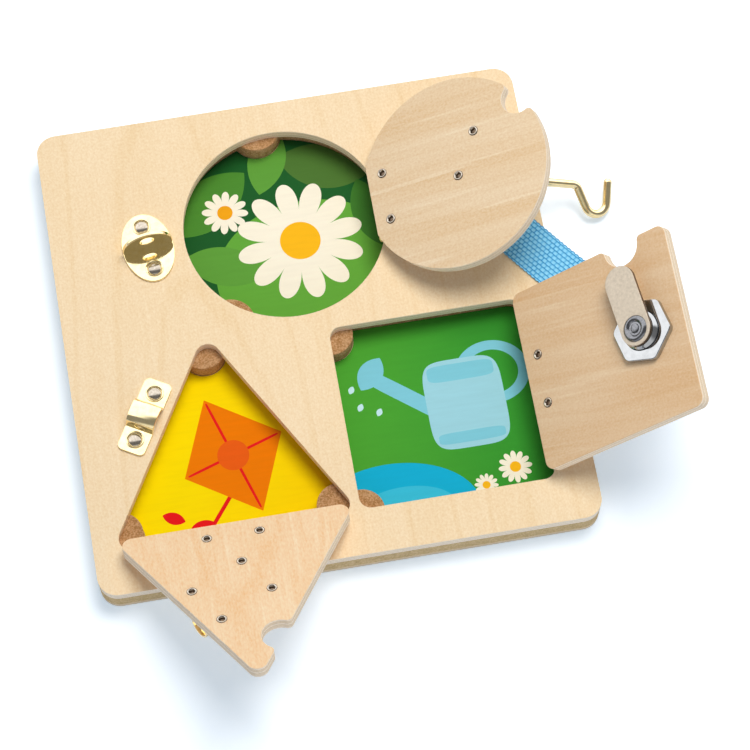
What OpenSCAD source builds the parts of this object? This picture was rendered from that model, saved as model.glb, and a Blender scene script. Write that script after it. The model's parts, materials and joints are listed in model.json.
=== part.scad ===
// Wooden busy board: a flat square board with three hinged doors, each held by another latch:
// a hook and eye on the round door, a cam lock on the square one, a slide bolt on the triangle.
// Millimetres. X points right, Y away from the child, Z up; the origin is the centre of the
// underside. Every door is drawn closed and then swung open about its own hinge pin.

/* [Board] */
// Length of each side of the board
board_side = 250; // [240:1:320]
// Radius of the board's corners
board_corner_r = 10; // [4:0.5:16]
// Thickness of the plywood face, also the stock of the doors
face_t = 6; // [5:0.5:9]
// Thickness of the fibreboard core
core_t = 10; // [10:0.5:16]
// Thickness of the plywood back
back_t = 3.5; // [2.5:0.5:6]
// Thickness of the printed cards in the recesses
card_t = 0.5; // [0.3:0.1:0.6]
// How far the core's openings are set back behind the face's
core_setback = 3; // [1:0.5:3.5]

/* [Round opening and door] */
// Centre of the round opening, X
round_x = -5.2; // [-10:0.1:0]
// Centre of the round opening, Y
round_y = 56.2; // [54:0.1:58]
// Radius of the round opening
round_r = 51.8; // [46:0.1:53]
// From the round opening's centre to its straight hinge side
round_chord = 48.7; // [44:0.1:50]
// How far the round door stands open
round_open = 153; // [0:1:153]
// Radius of the round door's finger notch
round_notch_r = 8.6; // [7:0.1:11]
// Direction of the round door's finger notch
round_notch_at = 146.5; // [135:0.5:165]

/* [Square opening and door] */
// Centre of the square opening, X
square_x = 56.3; // [55:0.1:58]
// Centre of the square opening, Y
square_y = -53.4; // [-55:0.1:-52]
// Width of the square opening
square_w = 98; // [90:0.5:99]
// Height of the square opening
square_h = 97; // [90:0.5:99]
// Radius of the square opening's corners
square_corner_r = 6; // [4:0.5:9]
// How far the square door stands open
square_open = 138.5; // [0:0.5:139]
// Radius of the square door's finger notch
square_notch_r = 9.9; // [7:0.1:11]
// From the square door's left edge to its finger notch
square_notch_x = 26.2; // [20:0.1:40]

/* [Triangular opening and door] */
// X of the triangle's apex
triangle_x = -54.7; // [-57:0.1:-54]
// Y of the triangle's base, its hinge side
triangle_base_y = -103.6; // [-106:0.1:-103]
// Height of the triangle with sharp corners
triangle_h = 107.2; // [100:0.1:108]
// Radius of the triangle's corners
triangle_corner_r = 6.4; // [4:0.1:8]
// How far the triangular door stands open
triangle_open = 152.3; // [0:0.1:153]
// Radius of the triangular door's finger notch
triangle_notch_r = 8.8; // [7:0.1:11]
// From the door's sharp apex to its finger notch, along the side
triangle_notch_at = 27.3; // [24:0.1:40]

/* [Doors] */
// Clearance between a door and its opening
door_gap = 1.4; // [0.8:0.1:2]
// Gap along the hinge side
hinge_gap = 1.8; // [1.6:0.1:2.4]
// Clearance between a closed door and the support lobes under it
lobe_gap = 0.2; // [0.1:0.1:0.6]
// How far a finger notch's centre lies inside the edge
notch_in = 1.6; // [0.5:0.1:3]
// Radius of the lips at a finger notch
notch_lip_r = 2.6; // [1.5:0.1:4]

/* [Hinges] */
// Length of a hinge
hinge_len = 38; // [34:0.5:44]
// Outer diameter of the hinge knuckles
knuckle_d = 2.9; // [2.6:0.1:3]
// Diameter of the hinge pins
hinge_pin_d = 1.5; // [1.2:0.1:1.6]
// Height of the hinge pin's axis over the board
hinge_axis_h = 1.35; // [1.3:0.05:1.5]
// Thickness of the hinge leaves
leaf_t = 0.9; // [0.6:0.1:1]
// Width of a leaf from the pin's axis
leaf_w = 14.5; // [13:0.5:17]
// From the pin's axis to the leaf's rivets
leaf_rivet_x = 9.5; // [8:0.1:10]
// Distance between a leaf's two rivets
leaf_rivet_pitch = 25.8; // [22:0.1:28]

/* [Hook and eye] */
// Length of the two oval plates
plate_len = 38; // [36:0.5:42]
// Width of the two oval plates
plate_w = 26; // [25:0.5:30]
// Thickness of the two oval plates
plate_t = 1.4; // [1:0.1:2]
// Distance between the two rivets of a plate
plate_rivet_pitch = 24; // [22:0.5:27]
// Height of the upright tab over its plate
tab_h = 16.5; // [15:0.5:18]
// Width of the tab at its foot
tab_w = 25; // [23:0.5:26]
// Thickness of the tab
tab_t = 1.8; // [1.4:0.1:2.2]
// Height of the hole in the tab over its plate
tab_hole_h = 9.8; // [9:0.1:11]
// Diameter of the hole that the hook drops into
eye_hole_d = 7.4; // [6:0.1:8]
// Centre of the eye plate, X
eye_x = -75.8; // [-80:0.1:-74]
// Centre of the eye plate, Y
eye_y = 53.8; // [50:0.1:60]
// Direction of the eye plate's long axis
eye_turn = 98; // [90:0.5:105]
// Centre of the hook plate on the closed round door, X
hook_plate_x = -13.5; // [-16:0.1:-10]
// Centre of the hook plate on the closed round door, Y
hook_plate_y = 63.8; // [60:0.1:68]
// Direction of the hook plate's long axis
hook_plate_turn = 121.6; // [115:0.1:128]
// Diameter of the hook's wire
wire_d = 4; // [3.4:0.1:4.4]
// Length of the hook's straight shaft
hook_shaft = 57.2; // [50:0.1:60]
// How far the hook stands up from the closed door
hook_lift = 51.4; // [0:0.1:54]

/* [Cam lock] */
// Lock axis on the closed square door, X
lock_x = 31.8; // [30:0.1:36]
// Lock axis on the closed square door, Y
lock_y = -54.2; // [-58:0.1:-50]
// Outer diameter of the lock's threaded body
lock_d = 19; // [17:0.5:20]
// How far the threaded body stands out of the door's inner face
lock_stub = 5.5; // [4.5:0.1:6]
// Diameter of the lock's front flange
lock_flange_d = 24; // [22:0.5:28]
// Thickness of the lock's front flange
lock_flange_t = 3; // [2:0.5:4]
// Diameter of the turning plug
plug_d = 12; // [10:0.5:13]
// Width across the nut's flats
nut_af = 29.5; // [25:0.5:30]
// Thickness of the nut
nut_t = 3; // [2:0.5:4]
// Reach of the cam from the lock's axis to its tip
cam_reach = 34; // [30:0.5:35]
// Width of the cam
cam_w = 17; // [14:0.5:18]
// Thickness of the cam
cam_t = 2; // [1.5:0.1:2.2]
// Direction of the unlocked cam on the closed door
cam_turn = 83; // [75:1:95]
// Diameter of the key's bow
key_bow_d = 19; // [17:0.5:22]
// Height of the hole in the key's bow over the door
key_hole_h = 24.6; // [22:0.1:26]

/* [Slide bolt] */
// Centre of the bolt's rivets on the closed triangular door, X
bolt_x = -61.2; // [-63:0.1:-60]
// Centre of the bolt's rivets on the closed triangular door, Y
bolt_y = -56.7; // [-58:0.1:-55]
// Direction in which the bolt slides, square to the triangle's left side
bolt_turn = 150; // [149:0.5:151]
// Distance between the bolt's rivets along the bolt
bolt_rivets_l = 29.6; // [28:0.1:31]
// Distance between the bolt's rivets across the bolt
bolt_rivets_w = 24.1; // [23:0.1:26]
// How far the barrel lies off the middle of the rivets
bolt_off = 3; // [3:0.1:3.6]
// Radius of the half-round bolt
bolt_r = 4.8; // [4:0.1:4.8]
// Running clearance of the bolt in its barrel
bolt_gap = 0.2; // [0.1:0.05:0.3]
// Thickness of the barrel's sheet
barrel_t = 1; // [0.8:0.1:1]
// Travel of the bolt
bolt_travel = 20; // [17:0.5:20.5]
// Length of the keeper
keeper_len = 40; // [36:0.5:42]
// Width of the keeper
keeper_w = 14.5; // [12:0.5:15]
// Height of the keeper's arch
keeper_h = 7.3; // [7.2:0.1:9]
// Thickness of the keeper's strip
keeper_t = 1.3; // [1:0.1:1.3]
// Distance between the keeper's rivets
keeper_rivet_pitch = 26; // [25.5:0.5:29]
// From the middle of the bolt's rivets to the keeper
keeper_reach = 35.3; // [34.5:0.1:36]

/* [Strap] */
// Width of the webbing
strap_w = 25; // [20:1:30]
// Thickness of the webbing
strap_t = 1.6; // [1.2:0.1:2]

/* [Hidden] */
$fn = 72;

// Levels of the layers
core_z = back_t;
face_z = core_z + core_t;
top_z = face_z + face_t;
door_t = face_t - lobe_gap;
door_z = top_z - door_t;
through = 60;
half_gap = hinge_gap / 2;

// Hinge axes
round_axis_x = round_x + round_chord - half_gap;
square_axis_x = square_x + square_w / 2 - half_gap;
triangle_axis_y = triangle_base_y + half_gap;
axis_z = top_z + hinge_axis_h;
round_hinge_y = round_y + 0.6;
square_hinge_y = square_y - 1;
triangle_hinge_x = triangle_x - 1.7;

// Support lobes of the core
round_lobe_r = 12.7;
round_lobe_reach = round_r + 7.1;
round_lobe_at = [96, 233];
corner_lobe_r = 11.2;
square_lobe_in = 1;
triangle_apex_y = triangle_base_y + triangle_h;
triangle_half_w = triangle_h * tan(30);
triangle_corners = [[triangle_x - triangle_half_w, triangle_base_y],
    [triangle_x + triangle_half_w, triangle_base_y], [triangle_x, triangle_apex_y]];
triangle_lobe_off = [[5.8, 10.9], [-9.6, 7.9], [-1.7, -6]];

// The pocket in the core that the locked cam turns into
pocket_gap = 1.4;
pocket_x = lock_x - cam_reach - pocket_gap;
pocket_w = cam_w + 4;

// Clearance round a printed card
card_gap = 0.3;

// Overlap of curves that run smoothly into each other, and reach of a notch's cutter
blend_step = 0.01;
notch_out = 4;

// Rivets and screws
rivet_d = 3.8;
rivet_hole_d = rivet_d + 0.1;
rivet_tail_d = 5.1;
rivet_bore_d = 2.9;
rivet_head_r = 3.4;
rivet_head_h = 1.3;
small_head_r = 2.4;
sink_d = 7.6;

// Hinge knuckles: five along the pin, three on the board's leaf and two on the door's
knuckles = 5;
knuckle_gap = 0.25;
pin_gap = 0.05;

// Hook, in the plane of its wire: u along the closed door, v along the hole's axis
hook_h = plate_t + tab_hole_h;
wire_r = wire_d / 2;
wire_lap = 0.05;
wire_step = 0.01;
hook_yaw = 16.6;
hook_side = tab_t / 2 + 5.6;
heel_r = 2.2;
hook_bend = 61.6;
hook_bend_r = 4;
hook_u_r = 6.4;
hook_leg = 10.1;
hook_tip_leg = 10.6;

// Lock levels, down from the door's outer face
lock_end = door_t + lock_stub;
cam_z0 = lock_end + 0.4;
cam_z1 = cam_z0 + cam_t;
nut_turn = 16;
screw_head_t = 1.1;
screw_head_r = 6.6;
screw_recess_d = 7.6;
cam_screw_d = 4;
cam_screw_len = 6;
tail_side = 7;
plug_gap = 0.05;
key_t = 2.2;
key_blade_w = 7;
key_blade_len = 10;
key_blade_gap = 0.1;
key_blade_lift = 2.7;
key_neck_h = 9;
key_bow_drop = 4.5;
key_hole_d = 6;
key_turn = 53.9;

// Slide bolt levels over the door's outer face, and places along the bolt
bolt_flat = 0.4;
bolt_axis_h = 0.9;
barrel_r = bolt_r + bolt_gap + barrel_t;
flange_len = 38;
flange_w = bolt_rivets_w + 8;
barrel_back = -flange_len / 2;
barrel_front = 22.6;
bolt_tip = 21;
bolt_len = 43;
knob_at = -8.9;
knob_stem_d = 4;
knob_d = 8.4;
knob_h = 15;

// Strap: distance from the anchor screw along the strap, and height over the board.
// The cord loop at its end runs through the hole in the key's bow.
strap_anchor = [84.1, 64.1];
strap_heading = -52.7;
strap_route = [[-14, 0.8], [-6, 0.8], [14, 0.85], [44, 0.9], [66, 1], [74, 1.4], [82, 2.4],
    [90, 4], [100, 6.8], [110, 10.4], [122, 15.9], [136.3, 24.1]];
strap_fold_len = 18;
washer_d = 12;
washer_t = 1;
strap_screw_d = 3.5;
loop_cord_r = 1.1;
loop_r = 5;
loop_leg = 9;
loop_slope = 32.6;

wood = [0.95, 0.87, 0.73];
door_wood = [0.9, 0.78, 0.6];
board_fibre = [0.62, 0.46, 0.3];
brass = [0.92, 0.8, 0.45];
steel = [0.78, 0.79, 0.8];
zinc = [0.8, 0.74, 0.65];

// ---- Places ---------------------------------------------------------------------------

module open_round() {
    translate([round_axis_x, 0, axis_z]) rotate([0, round_open, 0])
        translate([-round_axis_x, 0, -axis_z]) children();
}

module open_square() {
    translate([square_axis_x, 0, axis_z]) rotate([0, square_open, 0])
        translate([-square_axis_x, 0, -axis_z]) children();
}

module open_triangle() {
    translate([0, triangle_axis_y, axis_z]) rotate([triangle_open, 0, 0])
        translate([0, -triangle_axis_y, -axis_z]) children();
}

// Hinge frames: the pin lies along local Y, the board's leaf towards +X
module at_round_hinge() { translate([round_axis_x, round_hinge_y, axis_z]) children(); }
module at_square_hinge() { translate([square_axis_x, square_hinge_y, axis_z]) children(); }
module at_triangle_hinge() {
    translate([triangle_hinge_x, triangle_axis_y, axis_z]) rotate([0, 0, -90]) children();
}

module at_eye() { translate([eye_x, eye_y, top_z]) rotate([0, 0, eye_turn]) children(); }
module at_hook_plate() {
    translate([hook_plate_x, hook_plate_y, top_z]) rotate([0, 0, hook_plate_turn]) children();
}
module at_lock() { translate([lock_x, lock_y, top_z]) children(); }
module at_bolt() { translate([bolt_x, bolt_y, top_z]) rotate([0, 0, bolt_turn]) children(); }
module on_bolt_axis() { at_bolt() translate([0, -bolt_off, 0]) children(); }
module at_strap() {
    translate([strap_anchor[0], strap_anchor[1], top_z]) rotate([0, 0, strap_heading]) children();
}

// ---- Outlines -------------------------------------------------------------------------

module rounded_box_2d(w, h, r) {
    square([w - 2 * r, h], center = true);
    square([w, h - 2 * r], center = true);
    for (sx = [-1, 1], sy = [-1, 1])
        translate([sx * (w / 2 - r), sy * (h / 2 - r)]) circle(r = r);
}

module board_2d() { rounded_box_2d(board_side, board_side, board_corner_r); }

// The round shape with its straight hinge side; grow widens it, side moves the chord
module round_2d(grow, side) {
    translate([round_x, round_y]) intersection() {
        circle(r = round_r + grow, $fn = 144);
        translate([-100 + round_chord + side, 0]) square([200, 200], center = true);
    }
}

module square_2d(grow) {
    translate([square_x, square_y])
        rounded_box_2d(square_w + 2 * grow, square_h + 2 * grow, max(1, square_corner_r + grow));
}

// The door's outline keeps its own gap along the hinge side
module square_door_2d() {
    left = square_x - square_w / 2 + door_gap;
    right = square_x + square_w / 2 - hinge_gap;
    translate([(left + right) / 2, square_y])
        rounded_box_2d(right - left, square_h - 2 * door_gap, square_corner_r - door_gap);
}

// Corners of the triangle with its three sides moved out by grow and its base by base
function triangle_points(grow, base) = let (
        y0 = triangle_base_y - base,
        y1 = triangle_apex_y + 2 * grow,
        half = (y1 - y0) * tan(30))
    [[triangle_x - half, y0], [triangle_x + half, y0], [triangle_x, y1]];

// A triangle with round corners: the polygon between the tangent points, and three circles
// that stand out past its sides by blend_step, so that the outlines cross cleanly
module triangle_2d(grow, base, r) {
    pts = triangle_points(grow, base);
    out = [210, 330, 90];
    centres = [for (i = [0:2]) pts[i] - 2 * r * [cos(out[i]), sin(out[i])]];
    polygon([for (i = [0:2]) for (a = [-60, 60])
        centres[i] + (r - blend_step) * [cos(out[i] + a), sin(out[i] + a)]]);
    for (c = centres) translate(c) circle(r = r);
}

// A finger notch in a straight edge along X with the material below; its lips are rounded.
// The cutter reaches past the edge by notch_out.
module notch_2d(r) {
    lip_y = blend_step - notch_lip_r;
    lip_x = sqrt(pow(r + notch_lip_r, 2) - pow(lip_y + notch_in, 2));
    translate([0, -notch_in]) circle(r = r + blend_step);
    difference() {
        polygon([[0, -notch_in], [lip_x, lip_y], [lip_x, notch_out], [-lip_x, notch_out],
            [-lip_x, lip_y]]);
        for (side = [-1, 1]) translate([side * lip_x, lip_y]) circle(r = notch_lip_r);
    }
}

// The same notch in the rim of a disc of radius rim, cut at +X
module rim_notch_2d(r, rim) {
    deep = rim - notch_in;
    lip = rim - notch_lip_r + blend_step;
    swing = acos((deep * deep + lip * lip - pow(r + notch_lip_r, 2)) / (2 * deep * lip));
    translate([deep, 0]) circle(r = r + blend_step);
    difference() {
        polygon([[deep, 0], lip * [cos(swing), sin(swing)],
            (rim + notch_out) * [cos(swing), sin(swing)], [rim + 2 * notch_out, 0],
            (rim + notch_out) * [cos(swing), -sin(swing)], lip * [cos(swing), -sin(swing)]]);
        for (side = [-1, 1])
            translate(lip * [cos(swing), side * sin(swing)]) circle(r = notch_lip_r);
    }
}

module oval_2d(len, w) {
    polygon([for (a = [0:6:354]) [len / 2 * cos(a), w / 2 * sin(a)]]);
}

module lobes_2d(grow) {
    for (a = round_lobe_at)
        translate([round_x + round_lobe_reach * cos(a), round_y + round_lobe_reach * sin(a)])
            circle(r = round_lobe_r + grow);
    for (sy = [-1, 1])
        translate([square_x - square_w / 2 + square_lobe_in,
            square_y + sy * (square_h / 2 - square_lobe_in)]) circle(r = corner_lobe_r + grow);
    for (i = [0:2]) translate(triangle_corners[i] + triangle_lobe_off[i])
        circle(r = corner_lobe_r + grow);
}

// ---- Fasteners ------------------------------------------------------------------------

// A tubular rivet: domed head at z = 0 and up, flared tail end at -grip
module rivet(grip, head_r = rivet_head_r, head_h = rivet_head_h) {
    tail = 0.4;
    rotate_extrude() polygon(concat(
        [[0, head_h]],
        [for (a = [75:-15:0]) [head_r * cos(a), head_h * sin(a)]],
        [[rivet_d / 2, 0], [rivet_d / 2, -grip], [rivet_tail_d / 2, -grip],
            [rivet_tail_d / 2 - 0.3, -grip - tail], [rivet_bore_d / 2, -grip - tail],
            [rivet_bore_d / 2, -grip + 2.5], [0, -grip + 2.5]]));
}

// A rivet that ends flush inside the plywood face
module blind_rivet(grip, head_r = rivet_head_r, head_h = rivet_head_h) {
    rotate_extrude() polygon(concat(
        [[0, head_h]],
        [for (a = [75:-15:0]) [head_r * cos(a), head_h * sin(a)]],
        [[rivet_d / 2, 0], [rivet_d / 2, -grip], [0, -grip]]));
}

module leaf_rivet_places() {
    for (side = [-1, 1]) translate([leaf_rivet_x, side * leaf_rivet_pitch / 2]) children();
}

module plate_rivet_places() {
    for (side = [-1, 1]) translate([side * plate_rivet_pitch / 2, 0]) children();
}

module bolt_rivet_places() {
    for (sx = [-1, 1], sy = [-1, 1])
        translate([sx * bolt_rivets_l / 2, sy * bolt_rivets_w / 2]) children();
}

module keeper_rivet_places() {
    for (side = [-1, 1]) translate([0, side * keeper_rivet_pitch / 2]) children();
}

module rivet_hole() { translate([0, 0, -through / 2]) cylinder(d = rivet_hole_d, h = through); }

// ---- Board ----------------------------------------------------------------------------

module back_panel() {
    color(wood) linear_extrude(back_t) board_2d();
}

module core_frame() {
    color(board_fibre) difference() {
        translate([0, 0, core_z]) linear_extrude(core_t) difference() {
            board_2d();
            difference() {
                union() {
                    round_2d(core_setback, core_setback);
                    square_2d(core_setback);
                    triangle_2d(core_setback, core_setback, triangle_corner_r + core_setback);
                }
                lobes_2d(0);
            }
            translate([pocket_x, lock_y - pocket_w / 2])
                square([square_x - square_w / 2 - pocket_x, pocket_w]);
        }
    }
}

module top_panel() {
    color(wood) difference() {
        translate([0, 0, face_z]) linear_extrude(face_t) difference() {
            board_2d();
            round_2d(0, 0);
            square_2d(0);
            triangle_2d(0, 0, triangle_corner_r);
        }
        at_round_hinge() leaf_rivet_places() rivet_hole();
        at_square_hinge() leaf_rivet_places() rivet_hole();
        at_triangle_hinge() leaf_rivet_places() rivet_hole();
        at_eye() plate_rivet_places() rivet_hole();
        on_bolt_axis() translate([keeper_reach, 0, 0]) keeper_rivet_places() rivet_hole();
        at_strap() translate([0, 0, -face_t]) cylinder(d = strap_screw_d, h = through);
    }
}

module card() {
    translate([0, 0, core_z]) linear_extrude(card_t) difference() {
        children();
        lobes_2d(card_gap);
    }
}

module picture_round() {
    color([0.2, 0.5, 0.2]) card()
        round_2d(core_setback - card_gap, core_setback - card_gap);
}

module picture_square() {
    color([0.25, 0.6, 0.25]) card() square_2d(core_setback - card_gap);
}

module picture_triangle() {
    color([1, 0.87, 0.1])
        card() triangle_2d(core_setback - card_gap, core_setback - card_gap,
            triangle_corner_r + core_setback - card_gap);
}

// ---- Hinges ---------------------------------------------------------------------------

// Places of the knuckles along the pin; which = 0 for the board's leaf, 1 for the door's
function knuckle_pitch() = hinge_len / knuckles;
function knuckle_start(i) = -hinge_len / 2 + i * knuckle_pitch() + (i == 0 ? 0 : knuckle_gap / 2);
function knuckle_len(i) =
    knuckle_pitch() - (i == 0 || i == knuckles - 1 ? knuckle_gap / 2 : knuckle_gap);

// A leaf drawn towards +X, its underside on the wood
module hinge_leaf(which) {
    relief = knuckle_d / 2 + knuckle_gap;
    difference() {
        union() {
            translate([relief, -hinge_len / 2, -hinge_axis_h])
                cube([leaf_w - relief, hinge_len, leaf_t]);
            for (i = [which:2:knuckles - 1]) translate([0, knuckle_start(i), 0]) {
                translate([0, 0, -hinge_axis_h]) cube([relief + 0.5, knuckle_len(i), leaf_t]);
                rotate([-90, 0, 0]) cylinder(d = knuckle_d, h = knuckle_len(i));
            }
        }
        translate([0, -hinge_len / 2 - 1, 0]) rotate([-90, 0, 0])
            cylinder(d = hinge_pin_d + 2 * pin_gap, h = hinge_len + 2);
        leaf_rivet_places() rivet_hole();
    }
}

// The pin, with a small head at each end
module hinge_pin() {
    translate([0, -hinge_len / 2, 0]) rotate([-90, 0, 0])
        cylinder(d = hinge_pin_d, h = hinge_len);
    for (end = [-hinge_len / 2 - 0.6, hinge_len / 2]) translate([0, end, 0])
        rotate([-90, 0, 0]) cylinder(d = knuckle_d - 0.2, h = 0.6);
}

module door_leaf() { mirror([1, 0, 0]) hinge_leaf(1); }

module board_leaf_round() { color(brass) at_round_hinge() hinge_leaf(0); }
module board_leaf_square() { color(brass) at_square_hinge() hinge_leaf(0); }
module board_leaf_triangle() { color(brass) at_triangle_hinge() hinge_leaf(0); }

module round_door_leaf() { color(brass) open_round() at_round_hinge() door_leaf(); }
module square_door_leaf() { color(brass) open_square() at_square_hinge() door_leaf(); }
module triangle_door_leaf() { color(brass) open_triangle() at_triangle_hinge() door_leaf(); }

module round_hinge_pin() { color(brass) open_round() at_round_hinge() hinge_pin(); }
module square_hinge_pin() { color(brass) open_square() at_square_hinge() hinge_pin(); }
module triangle_hinge_pin() { color(brass) open_triangle() at_triangle_hinge() hinge_pin(); }

// ---- Hook and eye ---------------------------------------------------------------------

// An oval plate with an upright half-moon tab across it; the hole runs along the plate
module tab_plate(hole_d) {
    arc_r = (pow(tab_w / 2, 2) + tab_h * tab_h) / (2 * tab_h);
    difference() {
        union() {
            linear_extrude(plate_t) oval_2d(plate_len, plate_w);
            translate([tab_t / 2, 0, plate_t]) rotate([0, -90, 0]) linear_extrude(tab_t)
                intersection() {
                    translate([tab_h - arc_r, 0]) circle(r = arc_r, $fn = 96);
                    translate([-0.5, -tab_w]) square([tab_h + 1, 2 * tab_w]);
                }
        }
        plate_rivet_places() rivet_hole();
        translate([0, 0, plate_t + tab_hole_h]) rotate([0, 90, 0])
            cylinder(d = hole_d, h = 10, center = true);
        plate_rivet_places() translate([0, 0, plate_t - 0.5])
            cylinder(d1 = 6.9, d2 = sink_d, h = 0.6);
    }
}

module eye_plate() { color(brass) at_eye() tab_plate(eye_hole_d); }
module hook_plate() {
    color(brass) open_round() at_hook_plate() tab_plate(wire_d + 0.1);
}

// A bend of the wire in its plane, from heading h0, turning by turn (left positive)
module wire_bend(r, turn) {
    s = turn > 0 ? 1 : -1;
    translate([0, s * r]) rotate([0, 0, s > 0 ? -90 : 90 + turn])
        rotate_extrude(angle = abs(turn)) translate([r, 0]) circle(r = wire_r - wire_step);
}

// A straight run laps a little over the bends at its ends
module wire_run(len) {
    translate([-wire_lap, 0, 0]) rotate([0, 90, 0]) cylinder(r = wire_r, h = len + 2 * wire_lap);
}

// The wire drawn as a path: each step places the next at its end
module hook_wire() {
    pin_top = tab_t / 2 + 1.6;
    corner = hook_side / cos(hook_yaw);
    heel_turn = 90 + hook_yaw;
    heel_cut = heel_r * tan(heel_turn / 2);
    pin_len = pin_top + corner - heel_cut;
    bend_cut = hook_bend_r * tan(hook_bend / 2);
    translate([0, pin_top]) rotate([0, 0, -90]) {
        wire_run(pin_len);
        translate([-0.8, 0, 0]) rotate([0, 90, 0]) cylinder(r = wire_r + 0.8, h = 0.8);
        translate([pin_len, 0]) {
            wire_bend(heel_r, heel_turn);
            translate(heel_r * [sin(heel_turn), 1 - cos(heel_turn)]) rotate([0, 0, heel_turn]) {
                shaft = hook_shaft - heel_cut - bend_cut;
                wire_run(shaft);
                translate([shaft, 0]) {
                    wire_bend(hook_bend_r, -hook_bend);
                    translate(hook_bend_r * [sin(hook_bend), cos(hook_bend) - 1])
                        rotate([0, 0, -hook_bend]) hook_end();
                }
            }
        }
    }
}

// The rounded end of the wire
module wire_tip() {
    rotate([0, 90, 0]) rotate_extrude() intersection() {
        circle(r = wire_r - wire_step);
        square(wire_r);
    }
}

// The slanting leg, the round bottom and the tip of the hook
module hook_end() {
    turn = 90 + hook_bend;
    wire_run(hook_leg);
    translate([hook_leg, 0]) {
        wire_bend(hook_u_r, turn);
        translate(hook_u_r * [sin(turn), 1 - cos(turn)]) rotate([0, 0, turn]) {
            wire_run(hook_tip_leg);
            translate([hook_tip_leg, 0]) wire_tip();
        }
    }
}

// The hook in its hole: u turned up from the door by hook_lift
module hook() {
    color(brass) open_round() at_hook_plate() translate([0, 0, hook_h])
        rotate([hook_lift, 0, 0]) rotate(a = 180, v = [1, 1, 0]) hook_wire();
}

// ---- Doors ----------------------------------------------------------------------------

module round_door_panel() {
    color(door_wood) open_round() difference() {
        translate([0, 0, door_z]) linear_extrude(door_t) difference() {
            round_2d(-door_gap, -hinge_gap);
            translate([round_x, round_y]) rotate(round_notch_at)
                rim_notch_2d(round_notch_r, round_r - door_gap);
        }
        at_round_hinge() mirror([1, 0, 0]) leaf_rivet_places() rivet_hole();
        at_hook_plate() plate_rivet_places() rivet_hole();
    }
}

module square_door_panel() {
    color(door_wood) open_square() difference() {
        translate([0, 0, door_z]) linear_extrude(door_t) difference() {
            square_door_2d();
            translate([square_x - square_w / 2 + door_gap + square_notch_x,
                square_y + square_h / 2 - door_gap]) notch_2d(square_notch_r);
        }
        at_square_hinge() mirror([1, 0, 0]) leaf_rivet_places() rivet_hole();
        at_lock() translate([0, 0, -through / 2]) cylinder(d = lock_d + 0.2, h = through);
    }
}

module triangle_door_panel() {
    apex = triangle_points(-door_gap, -hinge_gap)[2];
    color(door_wood) open_triangle() difference() {
        translate([0, 0, door_z]) linear_extrude(door_t) difference() {
            triangle_2d(-door_gap, -hinge_gap, triangle_corner_r - door_gap);
            translate(apex) rotate(-60) translate([triangle_notch_at, 0])
                notch_2d(triangle_notch_r);
        }
        at_triangle_hinge() mirror([1, 0, 0]) leaf_rivet_places() rivet_hole();
        at_bolt() bolt_rivet_places() rivet_hole();
    }
}

// ---- Lock -----------------------------------------------------------------------------

module lock_housing() {
    color(steel) open_square() at_lock() difference() {
        union() {
            translate([0, 0, -lock_end]) cylinder(d = lock_d, h = lock_end + 1);
            cylinder(d1 = lock_flange_d, d2 = lock_flange_d - 2, h = lock_flange_t);
        }
        translate([0, 0, -lock_end - 1])
            cylinder(d = plug_d + 2 * plug_gap, h = lock_end + lock_flange_t + 2);
    }
}

module lock_nut() {
    color(steel) open_square() at_lock() difference() {
        translate([0, 0, -door_t - nut_t]) rotate(nut_turn)
            cylinder(d = nut_af / cos(30), h = nut_t, $fn = 6);
        translate([0, 0, -door_t - nut_t - 1]) cylinder(d = lock_d + 0.1, h = nut_t + 2);
    }
}

module lock_plug() {
    color(steel) open_square() at_lock() difference() {
        union() {
            translate([0, 0, -cam_z0]) cylinder(d = plug_d, h = cam_z0 + lock_flange_t - 0.3);
            translate([0, 0, -cam_z1 + 0.1]) rotate(cam_turn)
                linear_extrude(cam_t) square(tail_side, center = true);
        }
        rotate(key_turn) translate([0, 0, 2 * key_blade_gap]) key_blade(key_blade_gap);
        translate([0, 0, -cam_z1 - 1]) cylinder(d = cam_screw_d + 0.1, h = cam_screw_len + 1);
    }
}

module lock_cam() {
    color(zinc) open_square() at_lock() rotate(cam_turn) translate([0, 0, -cam_z1])
        linear_extrude(cam_t) difference() {
            union() {
                circle(d = cam_w);
                translate([cam_reach - cam_w / 2, 0]) circle(d = cam_w);
                translate([0, -cam_w / 2]) square([cam_reach - cam_w / 2, cam_w]);
            }
            square(tail_side + 0.2, center = true);
        }
}

module cam_screw() {
    color(steel) open_square() at_lock() translate([0, 0, -cam_z1]) difference() {
        union() {
            translate([0, 0, -screw_head_t]) cylinder(r = screw_head_r, h = screw_head_t);
            translate([0, 0, -0.5]) cylinder(d = cam_screw_d, h = cam_screw_len);
        }
        translate([0, 0, -screw_head_t - 1]) cylinder(d = screw_recess_d, h = 1.7);
    }
}

// The key's blade, and its slot in the plug when grown by gap
module key_blade(gap) {
    translate([-key_blade_w / 2 - gap, -key_t / 2 - gap, key_blade_lift - key_blade_len - 5 * gap])
        cube([key_blade_w + 2 * gap, key_t + 2 * gap, key_blade_len + 3 + 10 * gap]);
}

module key() {
    color(steel) open_square() at_lock() rotate(key_turn) {
        key_blade(0);
        rotate([90, 0, 0]) linear_extrude(key_t, center = true) difference() {
            union() {
                translate([0, key_hole_h - key_bow_drop]) circle(d = key_bow_d);
                translate([-key_blade_w / 2 - 1, lock_flange_t + 0.3])
                    square([key_blade_w + 2, key_neck_h]);
            }
            translate([0, key_hole_h]) circle(d = key_hole_d);
        }
    }
}

module square_door_rivets() {
    color(steel) open_square() at_square_hinge() mirror([1, 0, 0])
        leaf_rivet_places() translate([0, 0, leaf_t - hinge_axis_h]) rivet(leaf_t + door_t);
}

// ---- Round door's fasteners -----------------------------------------------------------

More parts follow.
